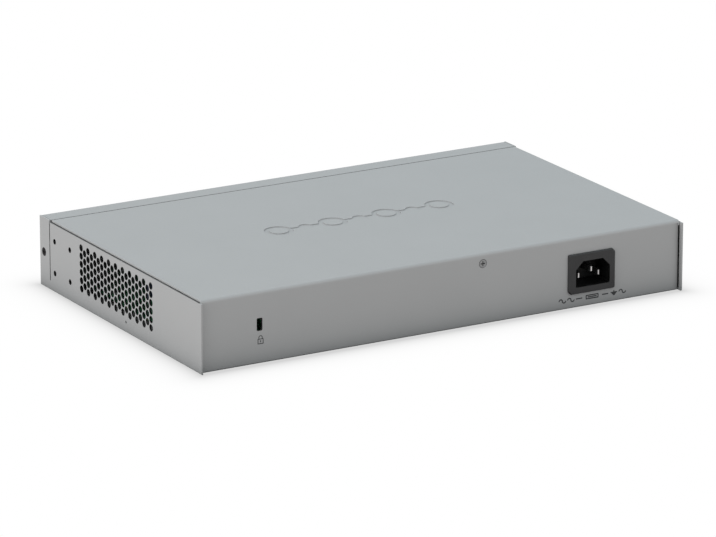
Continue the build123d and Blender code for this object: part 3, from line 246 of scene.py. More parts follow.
# ------------------------------------------------------------------ finishes
@dataclass(frozen=True)
class PowderCoat:
    """Grey powder-coated steel with a fine even texture, and painted shade inside the case and along its
    seams and grooves.
    """

    name: str
    colour: Colour
    inside: Box | None = None
    edge: Box | None = None
    inside_tone: float = 0.035
    edge_tone: float = 0.3
    roughness: float = 0.56
    grain_mm: float = 0.45
    mottling: float = 0.015
    foot_shade: float = 0.27
    foot_reach: float = 3.0
    shaded_end: Colour | None = None
    end_shade: float = 0.55
    end_reach: float = 1.1

    def material(self) -> bpy.types.Material:
        """Builds the coat: cloudy tone, speckle and bump, with shade painted at the foot, near one wall end
        and within.
        """
        bench = NodeBench(self.name)
        cloud = bench.remap(bench.noise(38.0, 3.0), 0.0, 1.0)
        tone = bench.mix(cloud, shade(self.colour, 1 - self.mottling), shade(self.colour, 1 + self.mottling))
        speck = bench.remap(bench.noise(0.6, 1.0), 0.0, 0.5)
        tone = bench.mix(speck, tone, shade(self.colour, 1.05))
        height = bench.add("SeparateXYZ", {0: bench.place}).outputs["Z"]
        near_foot = bench.math("EXPONENT", bench.math("MULTIPLY", height, -1 / (self.foot_reach * MM)))
        tone = bench.mix(bench.math("MULTIPLY", near_foot, self.foot_shade), tone, shade(self.colour, 0.0))
        # Painted shade: the coat darkens within end_reach of the shaded_end corner, beside the gap at the
        # wall's end.
        if self.shaded_end:
            across = bench.add("SeparateXYZ", {0: bench.place}).outputs["X"]
            away = bench.math("SUBTRACT", across, self.shaded_end[0])
            near_end = bench.math("EXPONENT", bench.math("MULTIPLY", away, -1 / (self.end_reach * MM)))
            on_wall = bench.within((self.shaded_end, (1.0, 1.0, 1.0)))
            fall = bench.math("MULTIPLY", bench.math("MULTIPLY", near_end, on_wall), self.end_shade)
            tone = bench.mix(fall, tone, shade(self.colour, 0.0))
        # Painted shade: the edge box, where grooves and seams lie, is darkened to about a third of the grey,
        # and the inside box to near black.
        for hollow, darkness in ((self.edge, self.edge_tone), (self.inside, self.inside_tone)):
            if hollow:
                tone = bench.mix(bench.within(hollow), tone, shade(self.colour, darkness))
        grain = bench.noise(self.grain_mm, 2.0)
        rough = bench.remap(grain, self.roughness - 0.05, self.roughness + 0.05)
        bench.dress(Base_Color=tone, Roughness=rough, Specular_IOR_Level=0.3)
        bench.relief(grain, 0.012, 0.5)
        return bench.material


@dataclass(frozen=True)
class PlatedSteel:
    """Zinc or nickel plated sheet with rolling streaks."""

    name: str
    colour: Colour
    roughness: float = 0.34
    streak: Colour = (1.0, 18.0, 18.0)
    streak_mm: float = 9.0

    def material(self) -> bpy.types.Material:
        """Builds the plating: metal with streaked roughness and faint cloudy tone."""
        bench = NodeBench(self.name)
        streaks = bench.noise(self.streak_mm, 3.0, self.streak)
        cloud = bench.remap(bench.noise(6.0, 2.0), 0.0, 1.0)
        tone = bench.mix(cloud, shade(self.colour, 0.88), self.colour)
        rough = bench.remap(streaks, self.roughness - 0.1, self.roughness + 0.12)
        bench.dress(Base_Color=tone, Roughness=rough, Metallic=1.0)
        bench.relief(streaks, 0.01, 0.35)
        return bench.material


@dataclass(frozen=True)
class Moulded:
    """Moulded plastic, rubber or resin with a fine spark-eroded surface."""

    name: str
    colour: Colour
    roughness: float = 0.5
    grain_mm: float = 0.25
    depth_mm: float = 0.012
    coat: float = 0.0
    inside: Box | None = None

    def material(self) -> bpy.types.Material:
        """Builds the plastic: near-even colour, grained roughness and bump, with painted shade inside a
        hollow.
        """
        bench = NodeBench(self.name)
        flow = bench.remap(bench.noise(7.0, 2.0, (1.0, 1.6, 0.7)), 0.0, 1.0)
        grain = bench.noise(self.grain_mm, 2.0)
        tone = bench.mix(flow, shade(self.colour, 0.9), shade(self.colour, 1.12))
        # Painted shade: inside the hollow box the colour drops to a tenth.
        if self.inside:
            tone = bench.mix(bench.within(self.inside), tone, shade(self.colour, 0.1))
        rough = bench.remap(grain, self.roughness - 0.07, self.roughness + 0.09)
        bench.dress(Base_Color=tone, Roughness=rough, Coat_Weight=self.coat)
        bench.relief(grain, self.depth_mm, 0.6)
        return bench.material


@dataclass(frozen=True)
class SolderMask:
    """Green circuit board with traces under the mask, vias and bare edges."""

    name: str
    mask: Colour = (0.012, 0.11, 0.045)
    trace: Colour = (0.02, 0.19, 0.07)
    via: Colour = (0.62, 0.5, 0.24)
    pitch_mm: float = 0.75
    patch_mm: float = 15.0
    bare_share: float = 0.35

    def material(self) -> bpy.types.Material:
        """Builds the board: patches of trace runs either way, dotted vias and a glassy mask."""
        bench = NodeBench(self.name)
        parts = bench.add("SeparateXYZ", {0: bench.place}).outputs
        turned = bench.add("CombineXYZ", {"X": parts["Y"], "Y": parts["X"], "Z": parts["Z"]}).outputs[0]
        patch = bench.add("TexVoronoi", {"Vector": bench.place, "Scale": 1 / (self.patch_mm * MM)},
                          distance="CHEBYCHEV").outputs["Color"]
        pick = bench.add("SeparateXYZ", {0: patch}).outputs
        across, along = (self.trace_runs(bench, way) for way in (bench.place, turned))
        chosen = bench.math("GREATER_THAN", pick["X"], 0.5)
        raised = bench.add("Mix", {0: chosen, 2: across, 3: along}, data_type="FLOAT").outputs[0]
        is_trace = bench.math("MULTIPLY", raised, bench.math("GREATER_THAN", pick["Y"], self.bare_share))
        dots = bench.add("TexVoronoi", {"Vector": bench.place, "Scale": 1 / (3.4 * MM), "Randomness": 0.8})
        is_via = bench.math("LESS_THAN", dots.outputs["Distance"], 0.1)
        tone = bench.mix(is_via, bench.mix(is_trace, self.mask, self.trace), self.via)
        bench.dress(Base_Color=tone, Roughness=bench.remap(bench.noise(2.0), 0.22, 0.36), Coat_Weight=0.4)
        bench.relief(is_trace, 0.035, 0.5)
        return bench.material

    def trace_runs(self, bench: NodeBench, way: bpy.types.NodeSocket) -> bpy.types.NodeSocket:
        """Draws long parallel traces with staggered ends.

        Args:
            bench: where the nodes go.
            way: the coordinate the traces follow.

        Returns:
            One on a trace, nothing between traces.
        """
        runs = bench.add("TexBrick", {"Vector": way, "Scale": 1 / (self.pitch_mm * MM), "Mortar Size": 0.24,
                                      "Brick Width": 14.0, "Row Height": 1.0, "Mortar Smooth": 0.1},
                         offset=0.37, offset_frequency=2)
        return bench.math("SUBTRACT", 1.0, runs.outputs["Fac"])


@dataclass(frozen=True)
class PartMetal:
    """Resin, glass or nylon with bare metal inside stated boxes."""

    name: str
    colour: Colour
    metal: tuple[Box, ...]
    metal_colour: Colour = (0.7, 0.69, 0.66)
    roughness: float = 0.4
    transmission: float = 0.0

    def material(self) -> bpy.types.Material:
        """Builds the body and its metal ends, each with its own gloss."""
        bench = NodeBench(self.name)
        is_metal: object = 0.0
        for box in self.metal:
            is_metal = bench.math("MAXIMUM", is_metal, bench.within(box))
        grain = bench.noise(0.4, 2.0)
        body = bench.mix(bench.remap(grain, 0.0, 1.0), shade(self.colour, 0.9), shade(self.colour, 1.1))
        tone = bench.mix(is_metal, body, self.metal_colour)
        clear = bench.math("MULTIPLY", bench.math("SUBTRACT", 1.0, is_metal), self.transmission)
        rough = bench.remap(grain, self.roughness - 0.1, self.roughness + 0.1)
        bench.dress(Base_Color=tone, Metallic=is_metal, Roughness=rough, Transmission_Weight=clear)
        bench.relief(grain, 0.012, 0.4)
        return bench.material


@dataclass(frozen=True)
class Sleeved:
    """Shrink-sleeved can with a bare scored crown and a pale polarity stripe."""

    name: str
    crown: float
    sleeve: Colour
    stripe_pitch: float

    def material(self) -> bpy.types.Material:
        """Builds the can: sleeve below the crown line, aluminium above it."""
        bench = NodeBench(self.name)
        is_crown = bench.math("GREATER_THAN", bench.coordinate(Axis.Z), self.crown)
        turns = bench.math("MULTIPLY", bench.coordinate(Axis.Y), math.tau / self.stripe_pitch)
        wave = bench.math("SINE", turns)
        is_stripe = bench.math("GREATER_THAN", wave, 0.93)
        body = bench.mix(is_stripe, self.sleeve, (0.5, 0.5, 0.55))
        tone = bench.mix(is_crown, body, (0.72, 0.72, 0.73))
        grain = bench.noise(0.5)
        bench.dress(Base_Color=tone, Metallic=is_crown, Roughness=bench.remap(grain, 0.25, 0.36))
        bench.relief(grain, 0.01, 0.4)
        return bench.material


@dataclass(frozen=True)
class Sorted:
    """Insulation or film whose colour changes in steps along one axis."""

    name: str
    axis: Axis
    start: float
    end: float
    stops: tuple[tuple[float, Colour], ...]
    roughness: float = 0.4
    ridge_mm: float = 1.2

    def material(self) -> bpy.types.Material:
        """Builds the steps with a soft grained gloss."""
        bench = NodeBench(self.name)
        along = bench.remap(bench.coordinate(self.axis), 0.0, 1.0, self.start, self.end)
        grain = bench.noise(self.ridge_mm, 2.0)
        rough = bench.remap(grain, self.roughness - 0.06, self.roughness + 0.08)
        bench.dress(Base_Color=bench.bands(along, self.stops), Roughness=rough)
        bench.relief(grain, 0.02, 0.4)
        return bench.material


@dataclass(frozen=True)
class ClearMoulding:
    """Clear or tinted light-guide plastic."""

    name: str
    tint: Colour
    transmission: float = 0.75
    roughness: float = 0.12

    def material(self) -> bpy.types.Material:
        """Builds the lens: tinted transmission with flow marks in its gloss."""
        bench = NodeBench(self.name)
        flow = bench.noise(1.4, 2.0)
        tone = bench.mix(bench.remap(flow, 0.0, 1.0), shade(self.tint, 0.9), self.tint)
        rough = bench.remap(flow, self.roughness, self.roughness + 0.1)
        bench.dress(Base_Color=tone, Roughness=rough, Transmission_Weight=self.transmission, IOR=1.49)
        bench.relief(flow, 0.01, 0.3)
        return bench.material


@dataclass(frozen=True)
class Sintered:
    """Grey-black pressed ferrite or ceramic."""

    name: str
    colour: Colour
    roughness: float = 0.62

    def material(self) -> bpy.types.Material:
        """Builds the pressed body: pores, grains and pale rubbed specks."""
        bench = NodeBench(self.name)
        pores = bench.add("TexVoronoi", {"Vector": bench.place, "Scale": 1 / (0.7 * MM)}).outputs["Distance"]
        specks = bench.math("GREATER_THAN", bench.noise(0.35, 1.0), 0.68)
        tone = bench.mix(specks, self.colour, shade(self.colour, 2.2))
        rough = bench.remap(pores, self.roughness, self.roughness + 0.2, 0.0, 0.5)
        bench.dress(Base_Color=tone, Roughness=rough)
        bench.relief(pores, 0.03, 0.5)
        return bench.material


CASE_GREY: Colour = (0.41, 0.41, 0.41)
ZINC = PlatedSteel("zinc_plate", (0.6, 0.6, 0.59))
TINNED = PlatedSteel("tinned_lead", (0.68, 0.68, 0.66), 0.3, (4.0, 4.0, 4.0), 2.0)
NICKEL = PlatedSteel("nickel_plate", (0.72, 0.7, 0.66), 0.22)
BLACK_OXIDE = PlatedSteel("black_oxide", (0.035, 0.035, 0.038), 0.4)
BARE_ALUMINIUM = PlatedSteel("extruded_aluminium", (0.74, 0.74, 0.75), 0.38)
GILT = PlatedSteel("gold_flash", (0.86, 0.62, 0.22), 0.2)
COPPER = PlatedSteel("enamelled_copper", (0.7, 0.26, 0.1), 0.28, (6.0, 6.0, 6.0), 2.0)
BLACK_NYLON = Moulded("black_nylon", (0.022, 0.022, 0.024), 0.46)
PORT_BLACK = Moulded("port_black", (0.016, 0.016, 0.018), 0.4)
NATURAL_NYLON = Moulded("natural_nylon", (0.72, 0.68, 0.56), 0.42)
FOOT_RUBBER = Moulded("foot_rubber", (0.02, 0.02, 0.021), 0.78, 0.5, 0.05)
CHIP_RESIN = Moulded("chip_resin", (0.024, 0.024, 0.027), 0.58, 0.3, 0.02)
FILM_SHEET = Moulded("insulating_film", (0.66, 0.63, 0.5), 0.3, 3.0, 0.03, 0.2)
MARKING_INK = Moulded("marking_ink", (0.045, 0.046, 0.048), 0.6, 0.3, 0.004)
FERRITE = Sintered("ferrite", (0.05, 0.05, 0.053))
FAN_BLACK = Moulded("fan_black", (0.014, 0.014, 0.015), 0.38, 0.6, 0.015)
CERAMIC = Moulded("chip_ceramic", (0.33, 0.24, 0.15), 0.45, 0.2, 0.008)


# ------------------------------------------------------------------ workshop
class Workshop:
    """Dresses CAD nodes and makes new pieces."""

    def __init__(self, frame: dict) -> None:
        """Keeps the frame and a shelf of made materials.
        """
        self.nodes = frame["nodes"]
        self.made: dict[str, bpy.types.Material] = {}

    def finish(self, finish: object) -> bpy.types.Material:
        """Makes a finish's material once and gives it again after that."""
        if finish.name not in self.made:
            self.made[finish.name] = finish.material()
        return self.made[finish.name]

    def dress(self, finish: object, *names: str) -> None:
        """Gives CAD nodes a finish.

        Args:
            finish: the finish to wear.
            names: the nodes.
        """
        for name in names:
            node = self.nodes[name]
            if not node.material_slots:
                node.data.materials.append(None)
            for slot in node.material_slots:
                slot.material = self.finish(finish)
            LOG.info("dressed %s in %s", name, finish.name)

    def place(self, mesh: bmesh.types.BMesh, name: str, finish: object, slot: str, body: str = "case",
              smooth: bool = False) -> bpy.types.Object:
        """Turns a finished bmesh into a piece of the object.

        Args:
            mesh: the shape, in metres in the shared frame.
            name: the piece's name.
            finish: its finish.
            slot: the record's slot that it belongs to; not used.
            body: the body that it rides on.
            smooth: whether its faces shade smoothly.

        Returns:
            The new object.
        """
        data = bpy.data.meshes.new(name)
        for face in mesh.faces:
            face.smooth = smooth
        mesh.to_mesh(data)
        mesh.free()
        data.materials.append(self.finish(finish))
        piece = bpy.data.objects.new(name, data)
        bpy.context.scene.collection.objects.link(piece)
        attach(piece, body)
        LOG.info("made %s with %d faces", name, len(data.polygons))
        return piece


@cache
def box_of(node: str) -> tuple[Vector, Vector]:
    """Lowest and highest corners of a CAD node's box."""
    lowest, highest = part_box(node)
    return Vector(lowest), Vector(highest)


def low(node: str, axis: Axis) -> float:
    """Lowest coordinate of a node along an axis."""
    return box_of(node)[0][axis.value]


def high(node: str, axis: Axis) -> float:
    """Highest coordinate of a node along an axis."""
    return box_of(node)[1][axis.value]


def middle(node: str) -> Vector:
    """Middle of a node's box."""
    lowest, highest = box_of(node)
    return (lowest + highest) / 2


def spot(across: float, depth: float, height: float) -> Vector:
    """Turns a place in millimetres, counted from the front face, into metres in the frame."""
    return Vector((across * MM, low("base_tray", Axis.Y) + depth * MM, height * MM))


def add_block(mesh: bmesh.types.BMesh, centre: Vector, size: Colour, chamfer: float = 0.0) -> None:
    """Adds a box to a mesh, with its edges broken if asked.

    Args:
        mesh: what to add to.
        centre: its middle, in metres.
        size: its sides, in millimetres.
        chamfer: the width of the broken edges, in millimetres.
    """
    shape = Matrix.Translation(centre) @ Matrix.Diagonal((*(side * MM for side in size), 1.0))
    made = bmesh.ops.create_cube(mesh, size=1.0, matrix=shape)["verts"]
    if chamfer:
        edges = list({edge for vert in made for edge in vert.link_edges})
        bmesh.ops.bevel(mesh, geom=edges, offset=chamfer * MM, offset_type="OFFSET", segments=1, profile=0.5,
                        affect="EDGES", material=-1)


def turn_profile(mesh: bmesh.types.BMesh, outline: Sequence[tuple[float, float]], centre: Vector,
                 axis: Axis, steps: int = 32) -> None:
    """Spins an outline of (distance along the axis, radius) round an axis into a closed body.

    Args:
        mesh: what to add to.
        outline: the points in millimetres, from axis to axis or as a loop.
        centre: where the axis starts, in metres.
        axis: the axis of the turn.
        steps: how many faces go round.
    """
    along = Vector([float(other is axis) for other in Axis])
    out = Vector((along.z, along.x, along.y))
    verts = [mesh.verts.new(centre + along * (distance * MM) + out * (radius * MM))
             for distance, radius in outline]
    edges = [mesh.edges.new(pair) for pair in zip(verts, verts[1:])]
    if outline[0][1] > 0:
        edges.append(mesh.edges.new((verts[-1], verts[0])))
    bmesh.ops.spin(mesh, geom=[*verts, *edges], cent=centre, axis=along, dvec=(0, 0, 0), angle=math.tau,
                   steps=steps, use_merge=True, use_duplicate=False)
    bmesh.ops.remove_doubles(mesh, verts=mesh.verts[:], dist=0.0005 * MM)
    bmesh.ops.recalc_face_normals(mesh, faces=mesh.faces[:])


# ------------------------------------------------------------------ printed marks
@dataclass
class Print:
    """Flat ink shapes drawn on a plane, in millimetres, then laid on a face."""

    thickness: float = 0.02
    mesh: bmesh.types.BMesh = field(default_factory=bmesh.new)

    def bar(self, x: float, z: float, width: float, height: float) -> None:
        """Draws an upright rectangle centred at x, z."""
        size = Matrix.Translation((x, 0, z)) @ Matrix.Diagonal((width, 1, height, 1))
        turn = Matrix.Rotation(math.pi / 2, 4, "X")
        bmesh.ops.create_grid(self.mesh, x_segments=1, y_segments=1, size=0.5, matrix=size @ turn)

    def arc(self, x: float, z: float, inner: float, outer: float, start: float, sweep: float,
            steps: int = 16) -> None:
        """Draws part of a ring.

        Args:
            x: the centre across.
            z: the centre up.
            inner: the inner radius.
            outer: the outer radius.
            start: the first angle in degrees, from +X towards +Z.
            sweep: how far it runs in degrees.
            steps: how many faces it has.
        """
        ray = Vector((math.cos(math.radians(start)), 0, math.sin(math.radians(start))))
        ends = [self.mesh.verts.new(Vector((x, 0, z)) + ray * radius) for radius in (inner, outer)]
        edge = self.mesh.edges.new(ends)
        bmesh.ops.spin(self.mesh, geom=[*ends, edge], cent=(x, 0, z), axis=(0, -1, 0), dvec=(0, 0, 0),
                       angle=math.radians(sweep), steps=steps, use_merge=False, use_duplicate=False)

    def wave(self, x: float, z: float, radius: float, line: float) -> None:
        """Draws an alternating-current mark from two half rings."""
        self.arc(x - radius, z, radius - line / 2, radius + line / 2, 0, 180)
        self.arc(x + radius, z, radius - line / 2, radius + line / 2, 180, 180)

    def lay(self, origin: Vector, turn: float) -> bmesh.types.BMesh:
        """Gives the ink its thickness and lays it on a face.

        Args:
            origin: where the drawing's zero goes, in metres.
            turn: how far the drawing turns about Z, in radians.

        Returns:
            The closed ink shapes.
        """
        bmesh.ops.remove_doubles(self.mesh, verts=self.mesh.verts[:], dist=0.001)
        sheet = self.mesh.faces[:]
        bmesh.ops.recalc_face_normals(self.mesh, faces=sheet)
        raised = bmesh.ops.extrude_face_region(self.mesh, geom=sheet, use_keep_orig=True)
        lifted = [item for item in raised["geom"] if isinstance(item, bmesh.types.BMVert)]
        bmesh.ops.translate(self.mesh, verts=lifted, vec=(0, -self.thickness, 0))
        bmesh.ops.recalc_face_normals(self.mesh, faces=self.mesh.faces[:])
        spot = Matrix.Translation(origin) @ Matrix.Rotation(turn, 4, "Z") @ Matrix.Scale(MM, 4)
        bmesh.ops.transform(self.mesh, matrix=spot, verts=self.mesh.verts[:])
        return self.mesh


def add_number(mesh: bmesh.types.BMesh, digits: str, place: Vector, height: float) -> None:
    """Adds printed digits to a mesh, facing the front.

    Args:
        mesh: what to add to.
        digits: the number.
        place: its middle on the front face, in metres.
        height: the height of the digits in millimetres.
    """
    curve = bpy.data.curves.new("digits", "FONT")
    curve.body = digits
    curve.align_x = "CENTER"
    curve.align_y = "CENTER"
    curve.size = height * 1.4 * MM
    curve.extrude = 0.01 * MM
    curve.resolution_u = 3
    holder = bpy.data.objects.new("digits", curve)
    flat = bpy.data.meshes.new_from_object(holder)
    flat.transform(Matrix.Translation(place) @ Matrix.Rotation(math.pi / 2, 4, "X"))
    mesh.from_mesh(flat)
    bpy.data.objects.remove(holder)
    bpy.data.curves.remove(curve)
    bpy.data.meshes.remove(flat)
    bmesh.ops.remove_doubles(mesh, verts=mesh.verts[:], dist=0.0005 * MM)


# ------------------------------------------------------------------ sub-assemblies
@dataclass
class Enclosure:
    """The folded case, its cover, brackets, screws and feet."""

    shop: Workshop
    lock_mark_drop: float = 9.15
    lock_mark_shift: float = -0.6

    skin: float = 0.05
    rear_setback: float = 2.3
    sheet: float = 1.05
    roof_bend: float = 2.0
    floor_bend: float = 1.6
    seam_depth: float = 12.75
    seam_width: float = 0.8
    rear_half_width: float = 162.9
    screw_recess: float = 1.7
    recess_skin: float = 0.25

    def build(self) -> None:
        """Dresses the sheet metal and prints the lock mark."""
        self.coat_sheet_metal()
        self.shop.dress(ZINC, "cover_rest_brackets", "lock_plate")
        lowest, highest = box_of("cover_screw")
        reach = self.screw_recess * MM
        centre = (lowest + highest) / 2
        hollow = ((centre.x - reach, lowest.y, centre.z - reach),
                  (centre.x + reach, highest.y - self.recess_skin * MM, centre.z + reach))
        # Painted shade: the recess in the screw head, the hollow box, is darkened to a tenth of its grey.
        self.shop.dress(Moulded("screw_coat", (0.3, 0.3, 0.3), 0.5, 0.3, 0.01, 0.0, hollow), "cover_screw")
        self.shop.dress(BLACK_OXIDE, "front_panel_screws")
        self.shop.dress(FOOT_RUBBER, "rubber_feet")
        self.print_lock_mark()

    def coat_sheet_metal(self) -> None:
        """Coats the tray, cover and front panel grey outside, with painted shade inside them and at their
        seams and groove edges.
        """
        lowest, highest = (Vector(corner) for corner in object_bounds())
        skin = self.skin * MM
        rear = highest.y - self.rear_setback * MM - skin
        side = highest.x - skin
        top = high("top_cover", Axis.Z)
        # Painted shade: the walls and behind_face boxes are shaded near black, and the rim, cover_edge and
        # return_end boxes darker grey.
        walls = ((-side, lowest.y + skin, self.floor_bend * MM), (side, rear, top - self.roof_bend * MM))
        rim = ((-side, lowest.y + self.seam_depth * MM, self.floor_bend * MM), (side, rear, top))
        self.shop.dress(PowderCoat("tray_coat", CASE_GREY, walls, rim), "base_tray")
        seam_edge = lowest.y + (self.seam_depth + self.seam_width + self.skin) * MM
        cover_edge = ((-side, lowest.y, 0.0), (side, seam_edge, top - skin))
        # Painted shade darkens the cover's rear wall towards its end at wall_end.
        wall_end = (-self.rear_half_width * MM, rear, 0.0)
        cover = PowderCoat("cover_coat", CASE_GREY, walls, cover_edge, shaded_end=wall_end)
        self.shop.dress(cover, "top_cover")
        return_end = ((-side, lowest.y + (self.seam_depth - self.skin) * MM, 0.0), (side, rear, top - skin))
        behind_face = ((-side, lowest.y + self.sheet * MM, 0.0), (side, rear, top - self.roof_bend * MM))
        self.shop.dress(PowderCoat("panel_coat", CASE_GREY, behind_face, return_end), "front_panel")

    def print_lock_mark(self) -> None:
        """Prints a plain padlock outline under the lock slot."""
        ink = Print()
        for z in (0.2, -2.6):
            ink.bar(0, z, 3.9, 0.5)
        for x in (-1.7, 1.7):
            ink.bar(x, -1.2, 0.5, 2.4)
        ink.bar(0, -1.2, 0.6, 1.3)
        ink.arc(0, 1.1, 0.85, 1.35, 0, 180)
        for x in (-1.1, 1.1):
            ink.bar(x, 0.78, 0.5, 0.66)
        slot = middle("lock_plate")
        origin = Vector((slot.x + self.lock_mark_shift * MM, high("top_cover", Axis.Y),
                         slot.z - self.lock_mark_drop * MM))
        self.shop.place(ink.lay(origin, math.pi), "lock_mark", MARKING_INK, "case_paint")


@dataclass
class MainsInlet:
    """The three-pin inlet with its leads and the marks printed under it."""

    shop: Workshop
    mark_gap: float = 3.5
    mark_line: float = 0.75
    rim: float = 3.0
    bright_tip: float = 0.5
    earth_lead: float = 3.0
    pin_width: float = 2.0

    def build(self) -> None:
        """Dresses the inlet and prints its marks."""
        lowest, highest = box_of("inlet_housing")
        rim = Vector((1, 0, 1)) * self.rim * MM
        hollow = (tuple(lowest + rim), tuple(highest - rim - Vector((0, 0.4 * MM, 0))))
        # Painted shade: the housing is darkened to a tenth inside its cavity, the hollow box within the rim.
        housing = Moulded("inlet_nylon", (0.03, 0.03, 0.031), 0.44, 0.25, 0.012, 0.0, hollow)
        self.shop.dress(housing, "inlet_housing")
        pins_bottom, pins_top = box_of("inlet_pins")
        earth_end = pins_top.y - self.bright_tip * MM
        earth_tip = ((-1.0, earth_end, 0.0), (1.0, 1.0, 1.0))
        line_end = earth_end - self.earth_lead * MM
        line_tips = [((x - self.pin_width * MM, line_end, 0.0), (x + self.pin_width * MM, 1.0, 1.0))
                     for x in (pins_bottom.x + self.pin_width * MM / 2, pins_top.x - self.pin_width * MM / 2)]
        # The shanks are metal as well, and are painted near black because they mirror the black cavity.
        shank, plating = (0.02, 0.02, 0.02), (0.95, 0.95, 0.95)
        pins = PartMetal("inlet_pin_plating", shank, (earth_tip, *line_tips), plating, 0.35)
        self.shop.dress(pins, "inlet_pins")
        leads = ((0.0, (0.16, 0.06, 0.03)), (0.33, (0.08, 0.42, 0.08)), (0.66, (0.03, 0.1, 0.45)))
        self.shop.dress(Sorted("mains_leads", Axis.X, low("inlet_leads", Axis.X), high("inlet_leads", Axis.X),
                               leads), "inlet_leads")
        self.print_supply_marks()

    def print_supply_marks(self) -> None:
        """Prints current, fuse and earth marks joined by fine rules."""
        ink = Print()
        line = self.mark_line
        for x in (-21.0, -15.0):
            ink.wave(x, 0, 1.15, line)
        for x in (-9.2, 9.2):
            ink.bar(x, 0, 4.4, line)
        for z in (-1.05, 1.05):
            ink.bar(0, z, 9.0, line)
        for x in (-4.2, 4.2):
            ink.bar(x, 0, line, 1.5)
        ink.bar(0, 0, 6.4, line)
        for row, width in enumerate((4.6, 3.0, 1.5)):
            ink.bar(15.4, 0.2 - row * 0.75, width, line)
        ink.bar(15.4, 0.95, line, 0.9)
        ink.wave(21.4, 0, 1.15, line)
        lowest, _ = box_of("inlet_housing")
        origin = Vector((middle("inlet_housing").x - 1.1 * MM, high("top_cover", Axis.Y),
                         lowest.z - self.mark_gap * MM))
        self.shop.place(ink.lay(origin, math.pi), "supply_marks", MARKING_INK, "case_paint")


